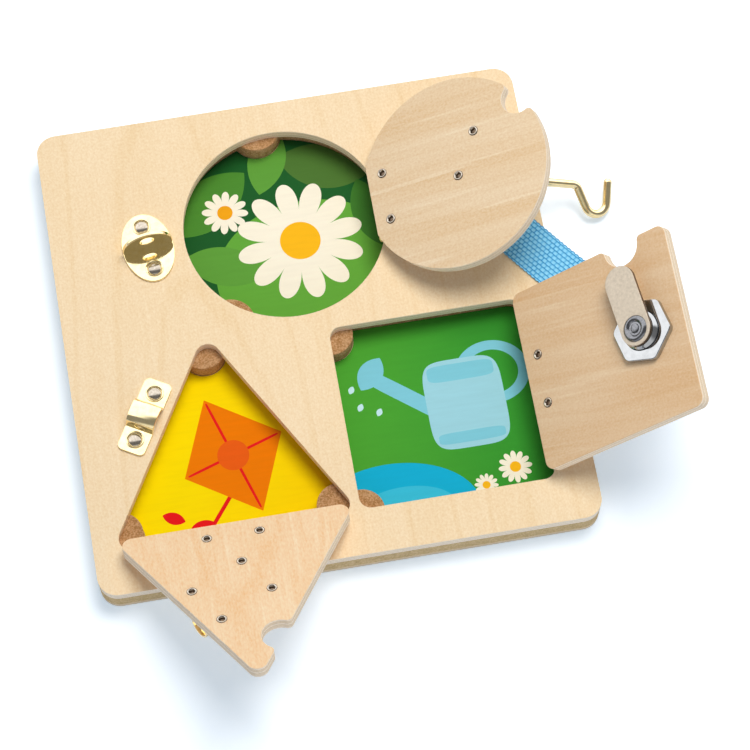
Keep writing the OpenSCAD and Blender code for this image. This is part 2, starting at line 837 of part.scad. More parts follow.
module round_door_rivets() {
    color(steel) open_round() {
        at_round_hinge() mirror([1, 0, 0]) leaf_rivet_places()
            translate([0, 0, leaf_t - hinge_axis_h]) rivet(leaf_t + door_t);
        at_hook_plate() plate_rivet_places()
            translate([0, 0, plate_t - 0.5]) rivet(plate_t - 0.5 + door_t);
    }
}

// ---- Slide bolt -----------------------------------------------------------------------

// Half-round arch: the outline of the barrel, drawn across the bolt
module arch_2d(r, h, foot) {
    intersection() {
        union() {
            translate([0, h]) circle(r = r);
            translate([-r, foot]) square([2 * r, h - foot]);
        }
        translate([-2 * r, foot]) square([4 * r, h + r + 1]);
    }
}

// Turns an outline drawn across the bolt into a bar along it, from a to b
module along_bolt(a, b) {
    translate([a, 0, 0]) rotate([90, 0, 90]) linear_extrude(b - a) children();
}

module bolt_barrel() {
    color(brass) open_triangle() {
        difference() {
            union() {
                at_bolt() linear_extrude(barrel_t) rounded_box_2d(flange_len, flange_w, 4);
                on_bolt_axis() along_bolt(barrel_back, barrel_front)
                    arch_2d(barrel_r, bolt_axis_h, 0);
            }
            on_bolt_axis() along_bolt(barrel_back - 1, barrel_front + 1)
                arch_2d(bolt_r + bolt_gap, bolt_axis_h, -1);
            at_bolt() bolt_rivet_places() rivet_hole();
            on_bolt_axis() translate([knob_at - knob_stem_d / 2 - 0.4, -knob_stem_d / 2 - 0.4, 2])
                cube([bolt_travel + knob_stem_d + 0.8, knob_stem_d + 0.8, 10]);
        }
    }
}

module bolt_rod() {
    color(brass) open_triangle() on_bolt_axis()
        along_bolt(bolt_tip - bolt_len, bolt_tip) arch_2d(bolt_r, bolt_axis_h, bolt_flat);
}

module bolt_knob() {
    color(brass) open_triangle() on_bolt_axis() translate([knob_at, 0, bolt_axis_h + bolt_r]) {
        cylinder(d = knob_stem_d, h = knob_h - bolt_axis_h - bolt_r);
        translate([0, 0, knob_h - bolt_axis_h - bolt_r]) sphere(d = knob_d, $fn = 48);
    }
}

// The keeper: two feet and an arch, bent from one strip
module bolt_keeper() {
    foot_in = 8;
    crown = 3.6;
    color(brass) on_bolt_axis() translate([keeper_reach, 0, 0]) difference() {
        translate([-keeper_w / 2, 0, 0]) rotate([90, 0, 90]) linear_extrude(keeper_w) {
            difference() {
                keeper_arch_2d(keeper_h, foot_in, crown);
                translate([0, -0.01])
                    keeper_arch_2d(keeper_h - keeper_t, foot_in - keeper_t, crown - keeper_t / 2);
            }
            for (side = [-1, 1])
                translate([side > 0 ? foot_in - 1 : -keeper_len / 2, 0])
                    square([keeper_len / 2 - foot_in + 1, keeper_t]);
        }
        keeper_rivet_places() rivet_hole();
        keeper_rivet_places() translate([0, 0, keeper_t - 0.5])
            cylinder(d1 = 6.9, d2 = sink_d, h = 0.6);
        for (sx = [-1, 1], sy = [-1, 1])
            translate([sx * keeper_w / 2, sy * keeper_len / 2, -1]) corner_cut(3, sx, sy);
    }
}

// What a corner of radius r loses, at the corner on side sx, sy
module corner_cut(r, sx, sy) {
    linear_extrude(through / 4) difference() {
        translate([sx > 0 ? -r : -1, sy > 0 ? -r : -1]) square(r + 1);
        translate([-sx * r, -sy * r]) circle(r = r);
    }
}

// Outline under the keeper's strip: sloping sides and a round crown
module keeper_arch_2d(h, half, crown) {
    slope_x = 1.4;
    polygon([[-half, 0], [half, 0], [half - slope_x, h - crown], [-half + slope_x, h - crown]]);
    intersection() {
        translate([-half, h - crown - 0.001]) square([2 * half, crown + 1]);
        keeper_crown_2d(h, half - slope_x, crown);
    }
}

// The crown: two quarter circles joined by a flat top
module keeper_crown_2d(h, half, r) {
    for (side = [-1, 1]) translate([side * (half - r), h - r]) circle(r = r);
    translate([-(half - r), h - r]) square([2 * (half - r), r]);
}

module triangle_door_rivets() {
    color(steel) open_triangle() {
        at_triangle_hinge() mirror([1, 0, 0]) leaf_rivet_places()
            translate([0, 0, leaf_t - hinge_axis_h]) rivet(leaf_t + door_t);
        at_bolt() bolt_rivet_places()
            translate([0, 0, barrel_t]) rivet(barrel_t + door_t, small_head_r, 1.1);
    }
}

// ---- Board's fasteners, and the strap -------------------------------------------------

module board_rivets() {
    color(steel) {
        for (i = [0:2]) at_hinge(i) leaf_rivet_places()
            translate([0, 0, leaf_t - hinge_axis_h]) blind_rivet(leaf_t + face_t);
        at_eye() plate_rivet_places()
            translate([0, 0, plate_t - 0.5]) blind_rivet(plate_t - 0.5 + face_t);
        on_bolt_axis() translate([keeper_reach, 0, keeper_t - 0.5])
            keeper_rivet_places() blind_rivet(keeper_t - 0.5 + face_t);
    }
}

module at_hinge(i) {
    if (i == 0) at_round_hinge() children();
    if (i == 1) at_square_hinge() children();
    if (i == 2) at_triangle_hinge() children();
}

// The strap's side view: its route thickened to the webbing, with the folded end under
// the washer
module strap() {
    lower = [for (p = strap_route) p - [0, strap_t / 2]];
    upper = [for (i = [len(strap_route) - 1:-1:0]) strap_route[i] + [0, strap_t / 2]];
    color([0.35, 0.7, 0.9]) difference() {
        at_strap() rotate([90, 0, 0]) linear_extrude(strap_w, center = true) {
            polygon(concat(lower, upper));
            translate([strap_route[0][0], strap_t / 2])
                square([strap_fold_len, 1.5 * strap_t]);
        }
        at_strap() translate([0, 0, -1]) cylinder(d = strap_screw_d + 0.4, h = 8);
    }
}

module strap_washer() {
    color(steel) at_strap() translate([0, 0, 2 * strap_t]) difference() {
        cylinder(d = washer_d, h = washer_t);
        translate([0, 0, -1]) cylinder(d = strap_screw_d + 0.1, h = washer_t + 2);
    }
}

module strap_screw() {
    head_r = 3.6;
    head_h = 2.2;
    shank_r = strap_screw_d / 2 - 0.05;
    shank = 2 * strap_t + washer_t + face_t;
    color(steel) at_strap() translate([0, 0, 2 * strap_t + washer_t]) rotate_extrude()
        polygon(concat([[0, head_h]], [for (a = [75:-15:0]) [head_r * cos(a), head_h * sin(a)]],
            [[shank_r, 0], [shank_r, -shank + 0.5], [0, -shank]]));
}

// The cord loop: two legs out of the strap's end and a round end through the key's bow
module key_loop() {
    color([0.3, 0.6, 0.8]) at_key_hole() rotate([0, -loop_slope, strap_heading])
        translate([-loop_r, 0, 0]) {
            rotate([0, 0, -90]) rotate_extrude(angle = 180)
                translate([loop_r, 0]) circle(r = loop_cord_r);
            for (side = [-1, 1]) translate([-loop_leg, side * loop_r, 0]) rotate([0, 90, 0])
                cylinder(r = loop_cord_r, h = loop_leg);
        }
}

// The middle of the hole in the key's bow, on the open door but not turned with it
module at_key_hole() {
    arm = [lock_x - square_axis_x, top_z + key_hole_h - axis_z];
    translate([square_axis_x + arm[0] * cos(square_open) + arm[1] * sin(square_open), lock_y,
        axis_z - arm[0] * sin(square_open) + arm[1] * cos(square_open)]) children();
}

// ---- Drawing --------------------------------------------------------------------------

back_panel();
core_frame();
top_panel();
picture_round();
picture_square();
picture_triangle();
board_leaf_round();
board_leaf_square();
board_leaf_triangle();
eye_plate();
bolt_keeper();
board_rivets();
strap();
strap_washer();
strap_screw();
round_door_panel();
round_door_leaf();
round_hinge_pin();
hook_plate();
round_door_rivets();
hook();
square_door_panel();
square_door_leaf();
square_hinge_pin();
lock_housing();
lock_nut();
square_door_rivets();
key_loop();
lock_plug();
lock_cam();
cam_screw();
key();
triangle_door_panel();
triangle_door_leaf();
triangle_hinge_pin();
bolt_barrel();
triangle_door_rivets();
bolt_rod();
bolt_knob();
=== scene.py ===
import json
import math

import bmesh
import bpy
from mathutils import Matrix, Vector


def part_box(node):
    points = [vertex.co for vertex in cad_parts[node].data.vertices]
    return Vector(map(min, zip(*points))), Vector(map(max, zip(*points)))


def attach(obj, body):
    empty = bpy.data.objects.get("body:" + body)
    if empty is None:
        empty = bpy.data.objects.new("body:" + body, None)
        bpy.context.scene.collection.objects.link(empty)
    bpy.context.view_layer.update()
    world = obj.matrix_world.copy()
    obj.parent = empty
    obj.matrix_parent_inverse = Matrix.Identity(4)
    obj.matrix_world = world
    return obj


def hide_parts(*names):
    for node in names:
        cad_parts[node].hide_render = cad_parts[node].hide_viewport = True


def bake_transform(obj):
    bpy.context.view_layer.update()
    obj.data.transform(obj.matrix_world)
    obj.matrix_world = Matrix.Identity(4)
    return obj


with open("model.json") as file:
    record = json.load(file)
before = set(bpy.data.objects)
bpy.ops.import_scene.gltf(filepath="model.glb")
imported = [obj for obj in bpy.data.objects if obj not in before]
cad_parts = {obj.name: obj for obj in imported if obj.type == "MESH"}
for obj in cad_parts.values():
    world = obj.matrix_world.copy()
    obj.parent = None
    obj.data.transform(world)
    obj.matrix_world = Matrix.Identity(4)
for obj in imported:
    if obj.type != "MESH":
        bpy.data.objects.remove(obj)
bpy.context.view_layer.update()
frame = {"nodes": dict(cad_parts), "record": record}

# ---- Camera ---------------------------------------------------------------------------
# A long lens that looks down on the open board from the near side, turned a little so that
# the board lies slantwise in the frame.
camera = bpy.data.objects.new("camera", bpy.data.cameras.new("camera"))
camera.data.lens = 126.47
camera.data.sensor_width = 36
camera.data.sensor_fit = "HORIZONTAL"
camera.location = (-0.05817, -0.49560, 1.25020)
camera.rotation_euler = (0.364512, -0.003115, -0.172419)
bpy.context.scene.collection.objects.link(camera)
bpy.context.scene.camera = camera
bpy.context.scene.view_settings.view_transform = "Standard"

# ---- Studio ---------------------------------------------------------------------------
# A wide soft lamp almost overhead, a white card low on the near side, and a white table that
# keeps the soft bluish shadow and pales into the background. What shines mirrors a bright
# wall behind the board, the card, and the dark room between them.


def linear(colour):
    """An sRGB hex colour as the linear RGBA that sockets take."""
    parts = [int(colour[i:i + 2], 16) / 255 for i in (0, 2, 4)]
    return [c / 12.92 if c <= 0.04045 else ((c + 0.055) / 1.055) ** 2.4 for c in parts] + [1]


def add(tree, kind, settings=None, inputs=None, stops=()):
    """Adds one node with its settings, its sockets set or linked, and a ramp's colours given
    as (place, hex colour) stops."""
    node = tree.nodes.new(kind)
    for name, value in (settings or {}).items():
        setattr(node, name, value)
    for socket, value in (inputs or {}).items():
        if isinstance(value, bpy.types.NodeSocket):
            tree.links.new(value, node.inputs[socket])
        else:
            node.inputs[socket].default_value = value
    if stops:
        while len(node.color_ramp.elements) < len(stops):
            node.color_ramp.elements.new(1)
        for element, (place, colour) in zip(node.color_ramp.elements, stops):
            element.position = place
            element.color = linear(colour)
    return node


room = bpy.data.worlds.new("pale room")
room.use_nodes = True
bpy.context.scene.world = room
sky = room.node_tree
sky.nodes.clear()
towards = add(sky, "ShaderNodeSeparateXYZ",
              inputs={0: add(sky, "ShaderNodeTexCoord").outputs["Generated"]})
nearer = add(sky, "ShaderNodeMath", {"operation": "MULTIPLY"}, {0: towards.outputs["Y"], 1: -1})
overhead = add(sky, "ShaderNodeMapRange", inputs={
    "Value": towards.outputs["Z"], "To Min": 0.50, "To Max": 0.15})
card_low = add(sky, "ShaderNodeMapRange", {"interpolation_type": "SMOOTHSTEP"}, {
    "Value": towards.outputs["Z"], "From Min": 0.15, "From Max": 0.85,
    "To Min": 1.0, "To Max": 0.0})
card_near = add(sky, "ShaderNodeMapRange", {"interpolation_type": "SMOOTHSTEP"}, {
    "Value": nearer.outputs[0], "From Min": 0.1, "From Max": 0.9, "To Min": 0.0, "To Max": 1.0})
fill_level = add(sky, "ShaderNodeMath", {"operation": "MULTIPLY_ADD"}, {
    0: card_low.outputs[0], 1: card_near.outputs[0], 2: overhead.outputs[0]})
far_wall = add(sky, "ShaderNodeMapRange", {"interpolation_type": "SMOOTHSTEP"}, {
    "Value": towards.outputs["Y"], "From Min": 0.0, "From Max": 0.26,
    "To Min": 0.27, "To Max": 1.9})
near_wall = add(sky, "ShaderNodeMapRange", {"interpolation_type": "SMOOTHSTEP"}, {
    "Value": nearer.outputs[0], "From Min": 0.55, "From Max": 0.85,
    "To Min": 0.0, "To Max": 0.7})
walls = add(sky, "ShaderNodeMath", {"operation": "ADD"},
            {0: far_wall.outputs[0], 1: near_wall.outputs[0]})
above_table = add(sky, "ShaderNodeMapRange", {"interpolation_type": "SMOOTHSTEP"}, {
    "Value": towards.outputs["Z"], "From Min": -0.06, "From Max": 0.08,
    "To Min": 0.2, "To Max": 1.0})
mirror_level = add(sky, "ShaderNodeMath", {"operation": "MULTIPLY"},
                   {0: walls.outputs[0], 1: above_table.outputs[0]})
rays = add(sky, "ShaderNodeLightPath")
fill = add(sky, "ShaderNodeBackground", inputs={
    "Color": linear("e8f1ff"), "Strength": fill_level.outputs[0]})
mirrored = add(sky, "ShaderNodeBackground", inputs={
    "Color": linear("ffffff"), "Strength": mirror_level.outputs[0]})
seen = add(sky, "ShaderNodeBackground", inputs={"Color": linear("ffffff"), "Strength": 1.0})
lit = add(sky, "ShaderNodeMixShader",
          inputs={0: rays.outputs["Is Glossy Ray"], 1: fill.outputs[0], 2: mirrored.outputs[0]})
shown = add(sky, "ShaderNodeMixShader",
            inputs={0: rays.outputs["Is Camera Ray"], 1: lit.outputs[0], 2: seen.outputs[0]})
add(sky, "ShaderNodeOutputWorld", inputs={0: shown.outputs[0]})

softbox = bpy.data.objects.new("softbox", bpy.data.lights.new("softbox", "AREA"))
softbox.data.shape = "DISK"
softbox.data.size = 0.9
softbox.data.energy = 18.3
softbox.data.color = (1.0, 0.965, 0.91)
softbox.location = (0.28, 0.34, 1.45)
softbox.rotation_euler = (-softbox.location).to_track_quat("-Z", "Y").to_euler()
softbox.visible_glossy = False
bpy.context.scene.collection.objects.link(softbox)

table_mesh = bmesh.new()
bmesh.ops.create_grid(table_mesh, x_segments=1, y_segments=1, size=0.75)
table = bpy.data.objects.new("table_top", bpy.data.meshes.new("table_top"))
table_mesh.to_mesh(table.data)
table_mesh.free()
bpy.context.scene.collection.objects.link(table)
table_paint = bpy.data.materials.new("white table")
table_paint.use_nodes = True
paint = table_paint.node_tree
paint.nodes.clear()
matt = add(paint, "ShaderNodeBsdfDiffuse", inputs={"Color": linear("f3f6fb")})
# For the camera only, the table also glows: a painted glow, weak and pale blue near the board,
# where it lifts and tints its shadow, and strong farther out, where the table turns white.
from_board = add(paint, "ShaderNodeVectorMath", {"operation": "LENGTH"},
                 {0: add(paint, "ShaderNodeTexCoord").outputs["Object"]})
paler = add(paint, "ShaderNodeMapRange", {"interpolation_type": "SMOOTHSTEP"}, {
    "Value": from_board.outputs["Value"], "From Min": 0.28, "From Max": 0.72,
    "To Min": 0.40, "To Max": 1.6})
lift = add(paint, "ShaderNodeEmission", inputs={
    "Color": linear("d8efff"), "Strength": paler.outputs[0]})
lifted = add(paint, "ShaderNodeAddShader", inputs={0: matt.outputs[0], 1: lift.outputs[0]})
either = add(paint, "ShaderNodeMixShader", inputs={
    0: add(paint, "ShaderNodeLightPath").outputs["Is Camera Ray"],
    1: matt.outputs[0], 2: lifted.outputs[0]})
add(paint, "ShaderNodeOutputMaterial", inputs={0: either.outputs[0]})
table.data.materials.append(table_paint)

# ---- Strap ----------------------------------------------------------------------------
# A length of 25 mm polyester webbing, screwed to the board through its folded end. It lies
# flat on the wood and then rises to the key. It is woven on a narrow loom, so both faces
# show staggered fat floats, and its edges are bumpy.
mm = 0.001
weld = 0.002
top_z = 19.5
strap_w = 25.0
strap_t = 1.6
strap_heading = math.radians(-52.7)
strap_anchor = Matrix.Translation((84.1, 64.1, top_z)) @ Matrix.Rotation(strap_heading, 4, "Z")
strap_route = [(-14, 0.8), (-6, 0.8), (14, 0.85), (44, 0.9), (66, 1), (74, 1.4), (82, 2.4),
               (90, 4), (100, 6.8), (110, 10.4), (122, 15.9), (136.3, 24.1)]
strap_fold = 18.0
strap_edge_r = 0.9
selvedge = 1.3
columns = 10
float_w = (strap_w - 2 * selvedge) / columns
float_l = 2.6
float_h = 0.5
bump_h, bump_reach = 0.5, 1.5
mesh_step = 0.42
selvedge_lines, column_lines = 3, 6
node_body = {n: b for b, names in frame["record"]["behaviour"]["bodies"].items() for n in names}


def new_finish(name):
    """A new material: itself, its tree, its shader and the Object coordinates."""
    material = bpy.data.materials.new(name)
    material.use_nodes = True
    tree = material.node_tree
    place_at = add(tree, "ShaderNodeTexCoord").outputs["Object"]
    return material, tree, tree.nodes["Principled BSDF"], place_at


def finish_piece(name, bm, materials, node, place=Matrix(), crease=32, body=None):
    """Turns a bmesh in millimetres into a finished piece that stands for a node. Wide faces
    next to a real turn are shaded flat, so that the bevels beside them carry the round."""
    bmesh.ops.remove_doubles(bm, verts=bm.verts, dist=weld)
    bmesh.ops.recalc_face_normals(bm, faces=bm.faces)
    for face in bm.faces:
        turns = [e.calc_face_angle(0) for e in face.edges]
        wide = face.calc_area() > max(e.calc_length() for e in face.edges)
        gentlest = min((turn for turn in turns if turn > 0.01), default=math.pi)
        face.smooth = not (wide and gentlest > 0.2)
    bmesh.ops.transform(bm, matrix=Matrix.Scale(mm, 4) @ place, verts=bm.verts)
    for edge in bm.edges:
        edge.smooth = edge.calc_face_angle(0) < math.radians(crease)
    mesh = bpy.data.meshes.new(name)
    bm.to_mesh(mesh)
    bm.free()
    for material in materials:
        mesh.materials.append(material)
    piece = bpy.data.objects.new(name, mesh)
    bpy.context.scene.collection.objects.link(piece)
    if body is None:
        body = node_body[node]
    if body:
        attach(piece, body)
    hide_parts(node)
    return piece


def join(bm, shape, where=Matrix()):
    """Adds a shape to a piece, moved to where it belongs on it."""
    bmesh.ops.transform(shape, matrix=where, verts=shape.verts)
    part = bpy.data.meshes.new("part")
    shape.to_mesh(part)
    shape.free()
    bm.from_mesh(part)
    bpy.data.meshes.remove(part)


def strap_height(s):
    """Height of the strap's middle over the board, s mm along it from the screw."""
    for (s0, h0), (s1, h1) in zip(strap_route, strap_route[1:]):
        if s <= s1:
            return h0 + (h1 - h0) * (s - s0) / (s1 - s0)
    return strap_route[-1][1]


def woven(y, s):
    """The weave y mm across and s mm along: its height from 0 in the grooves to 1 on a float,
    and how far the edge of the float's row stands out."""
    across = (y + strap_w / 2 - selvedge) / float_w
    column = math.floor(across)
    du = (across - column - 0.5) * 2
    if column < 0 or column >= columns:
        column = -1 if column < 0 else columns
        du = (strap_w - 2 * abs(y)) / selvedge - 1
    shifted = s / float_l + 0.5 * (column % 2)
    dv = (shifted - math.floor(shifted) - 0.5) * 2
    bulge = max(0, 1 - dv ** 2)
    return math.sqrt(max(0, 1 - abs(du) ** 2.6)) * math.sqrt(bulge), bulge


def webbing(s0, s1, layer):
    """A woven band from s0 to s1 along the route, layer thicknesses over it. The lines of its
    grid follow the edges of the columns."""
    bm = bmesh.new()
    lines = 2 * selvedge_lines + columns * column_lines
    bmesh.ops.create_grid(bm, x_segments=round((s1 - s0) / mesh_step), y_segments=lines, size=0.5)
    grown = bmesh.ops.extrude_face_region(bm, geom=bm.faces[:])
    upper = {e for e in grown["geom"] if isinstance(e, bmesh.types.BMVert)}
    shade = bm.verts.layers.float.new("weave")
    for vert in bm.verts:
        s = s0 + (vert.co.x + 0.5) * (s1 - s0)
        line = lines / 2 - abs(vert.co.y) * lines
        inward = min(line, selvedge_lines) / selvedge_lines * selvedge
        inward += max(0, line - selvedge_lines) / column_lines * float_w
        y = math.copysign(strap_w / 2 - inward, vert.co.y)
        side = 1 if vert in upper else -1
        float_at, bulge = woven(y, s)
        edge_in = min(1, min(strap_w / 2 - abs(y), s - s0, s1 - s) / strap_edge_r)
        rounded = math.sqrt(max(0.02, edge_in * (2 - edge_in)))
        half = (strap_t / 2 - float_h * (1 - float_at)) * rounded
        slope = (strap_height(s + 1) - strap_height(s - 1)) / 2
        vert[shade] = float_at
        near_edge = max(0, 1 - (strap_w / 2 - abs(y)) / bump_reach)
        y -= math.copysign(bump_h * (1 - bulge) * near_edge, y)
        vert.co = Vector((s - side * half * slope, y,
                          strap_height(s) + layer * strap_t + side * half))
    return bm


webbing_finish, tree, shader, place_at = new_finish("woven polyester webbing")
# Dull light-blue yarn with painted light and shade: the floats are painted lighter, as if they
# catch the light, and the deep grooves between them a darker, purer blue, a painted shade.
yarn = add(tree, "ShaderNodeAttribute", {"attribute_name": "weave"})
filaments = add(tree, "ShaderNodeTexNoise", inputs={
    "Vector": place_at, "Scale": 2600, "Detail": 2})
shade = add(tree, "ShaderNodeMath", {"operation": "MULTIPLY_ADD"},
            {0: filaments.outputs["Fac"], 1: 0.25, 2: yarn.outputs["Fac"]})
dye_and_shade = add(tree, "ShaderNodeValToRGB", inputs={"Fac": shade.outputs[0]}, stops=[
    (0.1, "1f79bb"), (0.45, "4fabe4"), (0.75, "7dcef9"), (1.0, "96dcff")])
tree.links.new(dye_and_shade.outputs[0], shader.inputs["Base Color"])
shader.inputs["Roughness"].default_value = 0.78
shader.inputs["Specular IOR Level"].default_value = 0.25
shader.inputs["Sheen Weight"].default_value = 0.15
lay = add(tree, "ShaderNodeBump", inputs={"Strength": 0.35, "Distance": 0.00008,
                                          "Height": filaments.outputs["Fac"]})
tree.links.new(lay.outputs[0], shader.inputs["Normal"])

strap_end = strap_route[-1][0]
band = webbing(strap_route[0][0], strap_end, 0)
join(band, webbing(strap_route[0][0], strap_route[0][0] + strap_fold, 1))
strap_piece = finish_piece("webbing_strap", band, [webbing_finish], "strap", strap_anchor,
                           crease=180, body="")
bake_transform(strap_piece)

# ---- Key loop -------------------------------------------------------------------------
# A loop of braided cord, sewn into the strap's end and passed through the key's bow. It is
# two straight legs and a round end, drawn as one bent tube; the last 1.5 mm of each leg is
# inside the strap's end.
loop_r = 5.0
cord_r = 1.1
sewn_in = 1.5
loop_leg = 9.0 + sewn_in
along_x = Matrix.Rotation(math.pi / 2, 4, "Y")
key_hole = Vector((174.18, -54.2, 51.54))
loop_place = (Matrix.Translation(key_hole) @ Matrix.Rotation(strap_heading, 4, "Z")
              @ Matrix.Rotation(math.radians(-32.6), 4, "Y") @ Matrix.Translation((-loop_r, 0, 0)))
bm = bmesh.new()
start = bmesh.ops.create_circle(
    bm, cap_ends=False, segments=12, radius=cord_r,
    matrix=Matrix.Translation((-loop_leg, -loop_r, 0)) @ along_x)
ring = {"geom_last": start["verts"] + list({e for v in start["verts"] for e in v.link_edges})}


def drawn(bm, ring, offset, steps=1):
    """Pulls an open ring of a tube on by an offset."""
    return bmesh.ops.spin(bm, geom=ring["geom_last"], cent=(0, 0, 0), axis=(0, 0, 1),
                          dvec=Vector(offset) / steps, angle=0, steps=steps)


ring = drawn(bm, ring, (loop_leg, 0, 0), 5)
ring = bmesh.ops.spin(bm, geom=ring["geom_last"], cent=(0, 0, 0), axis=(0, 0, 1),
                      angle=math.pi, steps=16)
ring = drawn(bm, ring, (-loop_leg, 0, 0), 5)
bmesh.ops.holes_fill(bm, edges=[e for e in bm.edges if e.is_boundary])

braid_finish, tree, shader, place_at = new_finish("braided polyester cord")
# The braid's strands are too fine to show, so they are drawn 0.7 mm wide, each painted
# lighter on its crown and darker at its edges, a painted shade between the strands.
strands = add(tree, "ShaderNodeTexVoronoi", inputs={"Vector": place_at, "Scale": 1400})
dye_and_shade = add(tree, "ShaderNodeValToRGB", inputs={"Fac": strands.outputs["Distance"]}, stops=[
    (0.0, "6fc3ee"), (0.8, "2c7fb4")])
tree.links.new(dye_and_shade.outputs[0], shader.inputs["Base Color"])
shader.inputs["Roughness"].default_value = 0.75
knit = add(tree, "ShaderNodeBump", {"invert": True},
           {"Strength": 0.5, "Distance": 0.0002, "Height": strands.outputs["Distance"]})
tree.links.new(knit.outputs[0], shader.inputs["Normal"])

loop_piece = finish_piece("key_cord_loop", bm, [braid_finish], "key_loop", loop_place)
loop_path = [(-loop_leg, -loop_r, 0), (-loop_leg / 2, -loop_r, 0)]
loop_path += [(loop_r * math.sin(a), -loop_r * math.cos(a), 0)
              for a in [math.pi * i / 16 for i in range(17)]]
loop_path += [(-loop_leg / 2, loop_r, 0), (-loop_leg, loop_r, 0)]
loop_path = [loop_place @ Vector(p) * mm for p in loop_path]

# ---- Board ----------------------------------------------------------------------------
# Three layers glued flat: a birch plywood face with the three openings routed through it, a
# fibreboard core whose lobes carry the closed doors, and a thin plywood back. Every edge
# that a hand meets is sanded round.


def eased(node, ease, place=Matrix(), segments=2):
    """The node's solid as one clean mesh in millimetres, its sharp edges broken by ease."""
    bm = bmesh.new()
    bm.from_mesh(frame["nodes"][node].data)
    bmesh.ops.transform(bm, matrix=place.inverted() @ Matrix.Scale(1 / mm, 4), verts=bm.verts)
    bmesh.ops.remove_doubles(bm, verts=bm.verts, dist=weld)
    bmesh.ops.dissolve_limit(bm, angle_limit=math.radians(0.6), verts=bm.verts, edges=bm.edges)
    sharp = [e for e in bm.edges if e.is_convex and e.calc_face_angle(0) > math.radians(40)]
    if ease:
        bmesh.ops.bevel(bm, geom=sharp, offset=ease, segments=segments, profile=0.5,
                        affect="EDGES", clamp_overlap=True, material=-1)
    return bm


def mark_walls(bm, index):
    """Gives the upright walls their own material."""
    bm.normal_update()
    for face in bm.faces:
        if abs(face.normal.z) < 0.3:
            face.material_index = index


def hinged(pivot, axis, degrees):
    """Turns a closed door about its hinge pin to where it stands open."""
    return (Matrix.Translation(pivot) @ Matrix.Rotation(math.radians(degrees), 4, axis)
            @ Matrix.Translation(-Vector(pivot)))


def in_door(tree, place_at, pivot, turn):
    """Millimetres measured from the hinge pin in the closed door."""
    return add(tree, "ShaderNodeMapping", {"vector_type": "TEXTURE"},
               {"Vector": place_at, "Location": [c * mm for c in pivot],
                "Rotation": [math.radians(a) for a in turn], "Scale": (mm, mm, mm)}).outputs[0]


def veneer(name, pivot, turn, grain, tones, layers, streaks, arcs):
    """Sanded birch veneer. Each layer of figure is its spots per mm across and along the grain,
    its detail and its weight; streaks are pale rays and arcs the flame of the growth rings."""
    material, tree, shader, place_at = new_finish(name)
    lying = add(tree, "ShaderNodeMapping", inputs={
        "Vector": in_door(tree, place_at, pivot, turn),
        "Rotation": (0, 0, math.radians(grain))}).outputs[0]
    figure = 0.5 - sum(weight for across, along, detail, weight in layers) / 2
    for across, along, detail, weight in layers:
        spots = add(tree, "ShaderNodeTexNoise", inputs={
            "Vector": add(tree, "ShaderNodeMapping", inputs={
                "Vector": lying, "Scale": (across, along, 0.4)}).outputs[0],
            "Scale": 1.0, "Detail": detail, "Distortion": 0.3})
        figure = add(tree, "ShaderNodeMath", {"operation": "MULTIPLY_ADD"},
                     {0: spots.outputs["Fac"], 1: weight, 2: figure}).outputs[0]
    fibres = spots.outputs["Fac"]
    rays_at = add(tree, "ShaderNodeMapping", inputs={"Vector": lying, "Scale": (0.34, 0.011, 0.4)})
    pale_rays = add(tree, "ShaderNodeMapRange", {"interpolation_type": "SMOOTHSTEP"}, {
        "Value": add(tree, "ShaderNodeTexNoise", inputs={
            "Vector": rays_at.outputs[0], "Scale": 1.0, "Detail": 3}).outputs["Fac"],
        "From Min": 0.54, "From Max": 0.72, "To Min": 0.0, "To Max": streaks})
    rings_at = add(tree, "ShaderNodeMapping", inputs={
        "Vector": lying, "Location": (0.9, 0.35, 0), "Scale": (0.016, 0.0028, 0.01)})
    rings = add(tree, "ShaderNodeTexWave", {"wave_type": "RINGS", "rings_direction": "Z"}, {
        "Vector": rings_at.outputs[0], "Scale": 1.0, "Distortion": 5.0, "Detail": 2,
        "Detail Scale": 1.4})
    flame = add(tree, "ShaderNodeMapRange", {"interpolation_type": "SMOOTHSTEP"}, {
        "Value": rings.outputs["Fac"], "From Min": 0.90, "From Max": 1.0, "To Min": 0.0,
        "To Max": -arcs})
    figure = add(tree, "ShaderNodeMath", {"operation": "ADD"},
                 {0: figure, 1: pale_rays.outputs[0]})
    figure = add(tree, "ShaderNodeMath", {"operation": "ADD", "use_clamp": True},
                 {0: figure.outputs[0], 1: flame.outputs[0]})
    wood = add(tree, "ShaderNodeValToRGB", inputs={"Fac": figure.outputs[0]}, stops=[
        (0.0, tones[0]), (1.0, tones[1])])
    tree.links.new(wood.outputs[0], shader.inputs["Base Color"])
    tree.links.new(add(tree, "ShaderNodeMapRange", inputs={
        "Value": fibres, "To Min": 0.50, "To Max": 0.66}).outputs[0], shader.inputs["Roughness"])
    shader.inputs["Specular IOR Level"].default_value = 0.25
    raised = add(tree, "ShaderNodeBump", inputs={
        "Strength": 0.2, "Distance": 0.00006, "Height": fibres})
    tree.links.new(raised.outputs[0], shader.inputs["Normal"])
    return material


def outer_rim(tree, place_at):
    """1 within 7 mm of the board's outer edge, 0 inside its openings."""
    apart = add(tree, "ShaderNodeSeparateXYZ", inputs={
        0: add(tree, "ShaderNodeVectorMath", {"operation": "ABSOLUTE"}, {0: place_at}).outputs[0]})
    farther = add(tree, "ShaderNodeMath", {"operation": "MAXIMUM"},
                  {0: apart.outputs["X"], 1: apart.outputs["Y"]})
    return add(tree, "ShaderNodeMapRange", inputs={
        "Value": farther.outputs[0], "From Min": 0.116, "From Max": 0.118}).outputs[0]


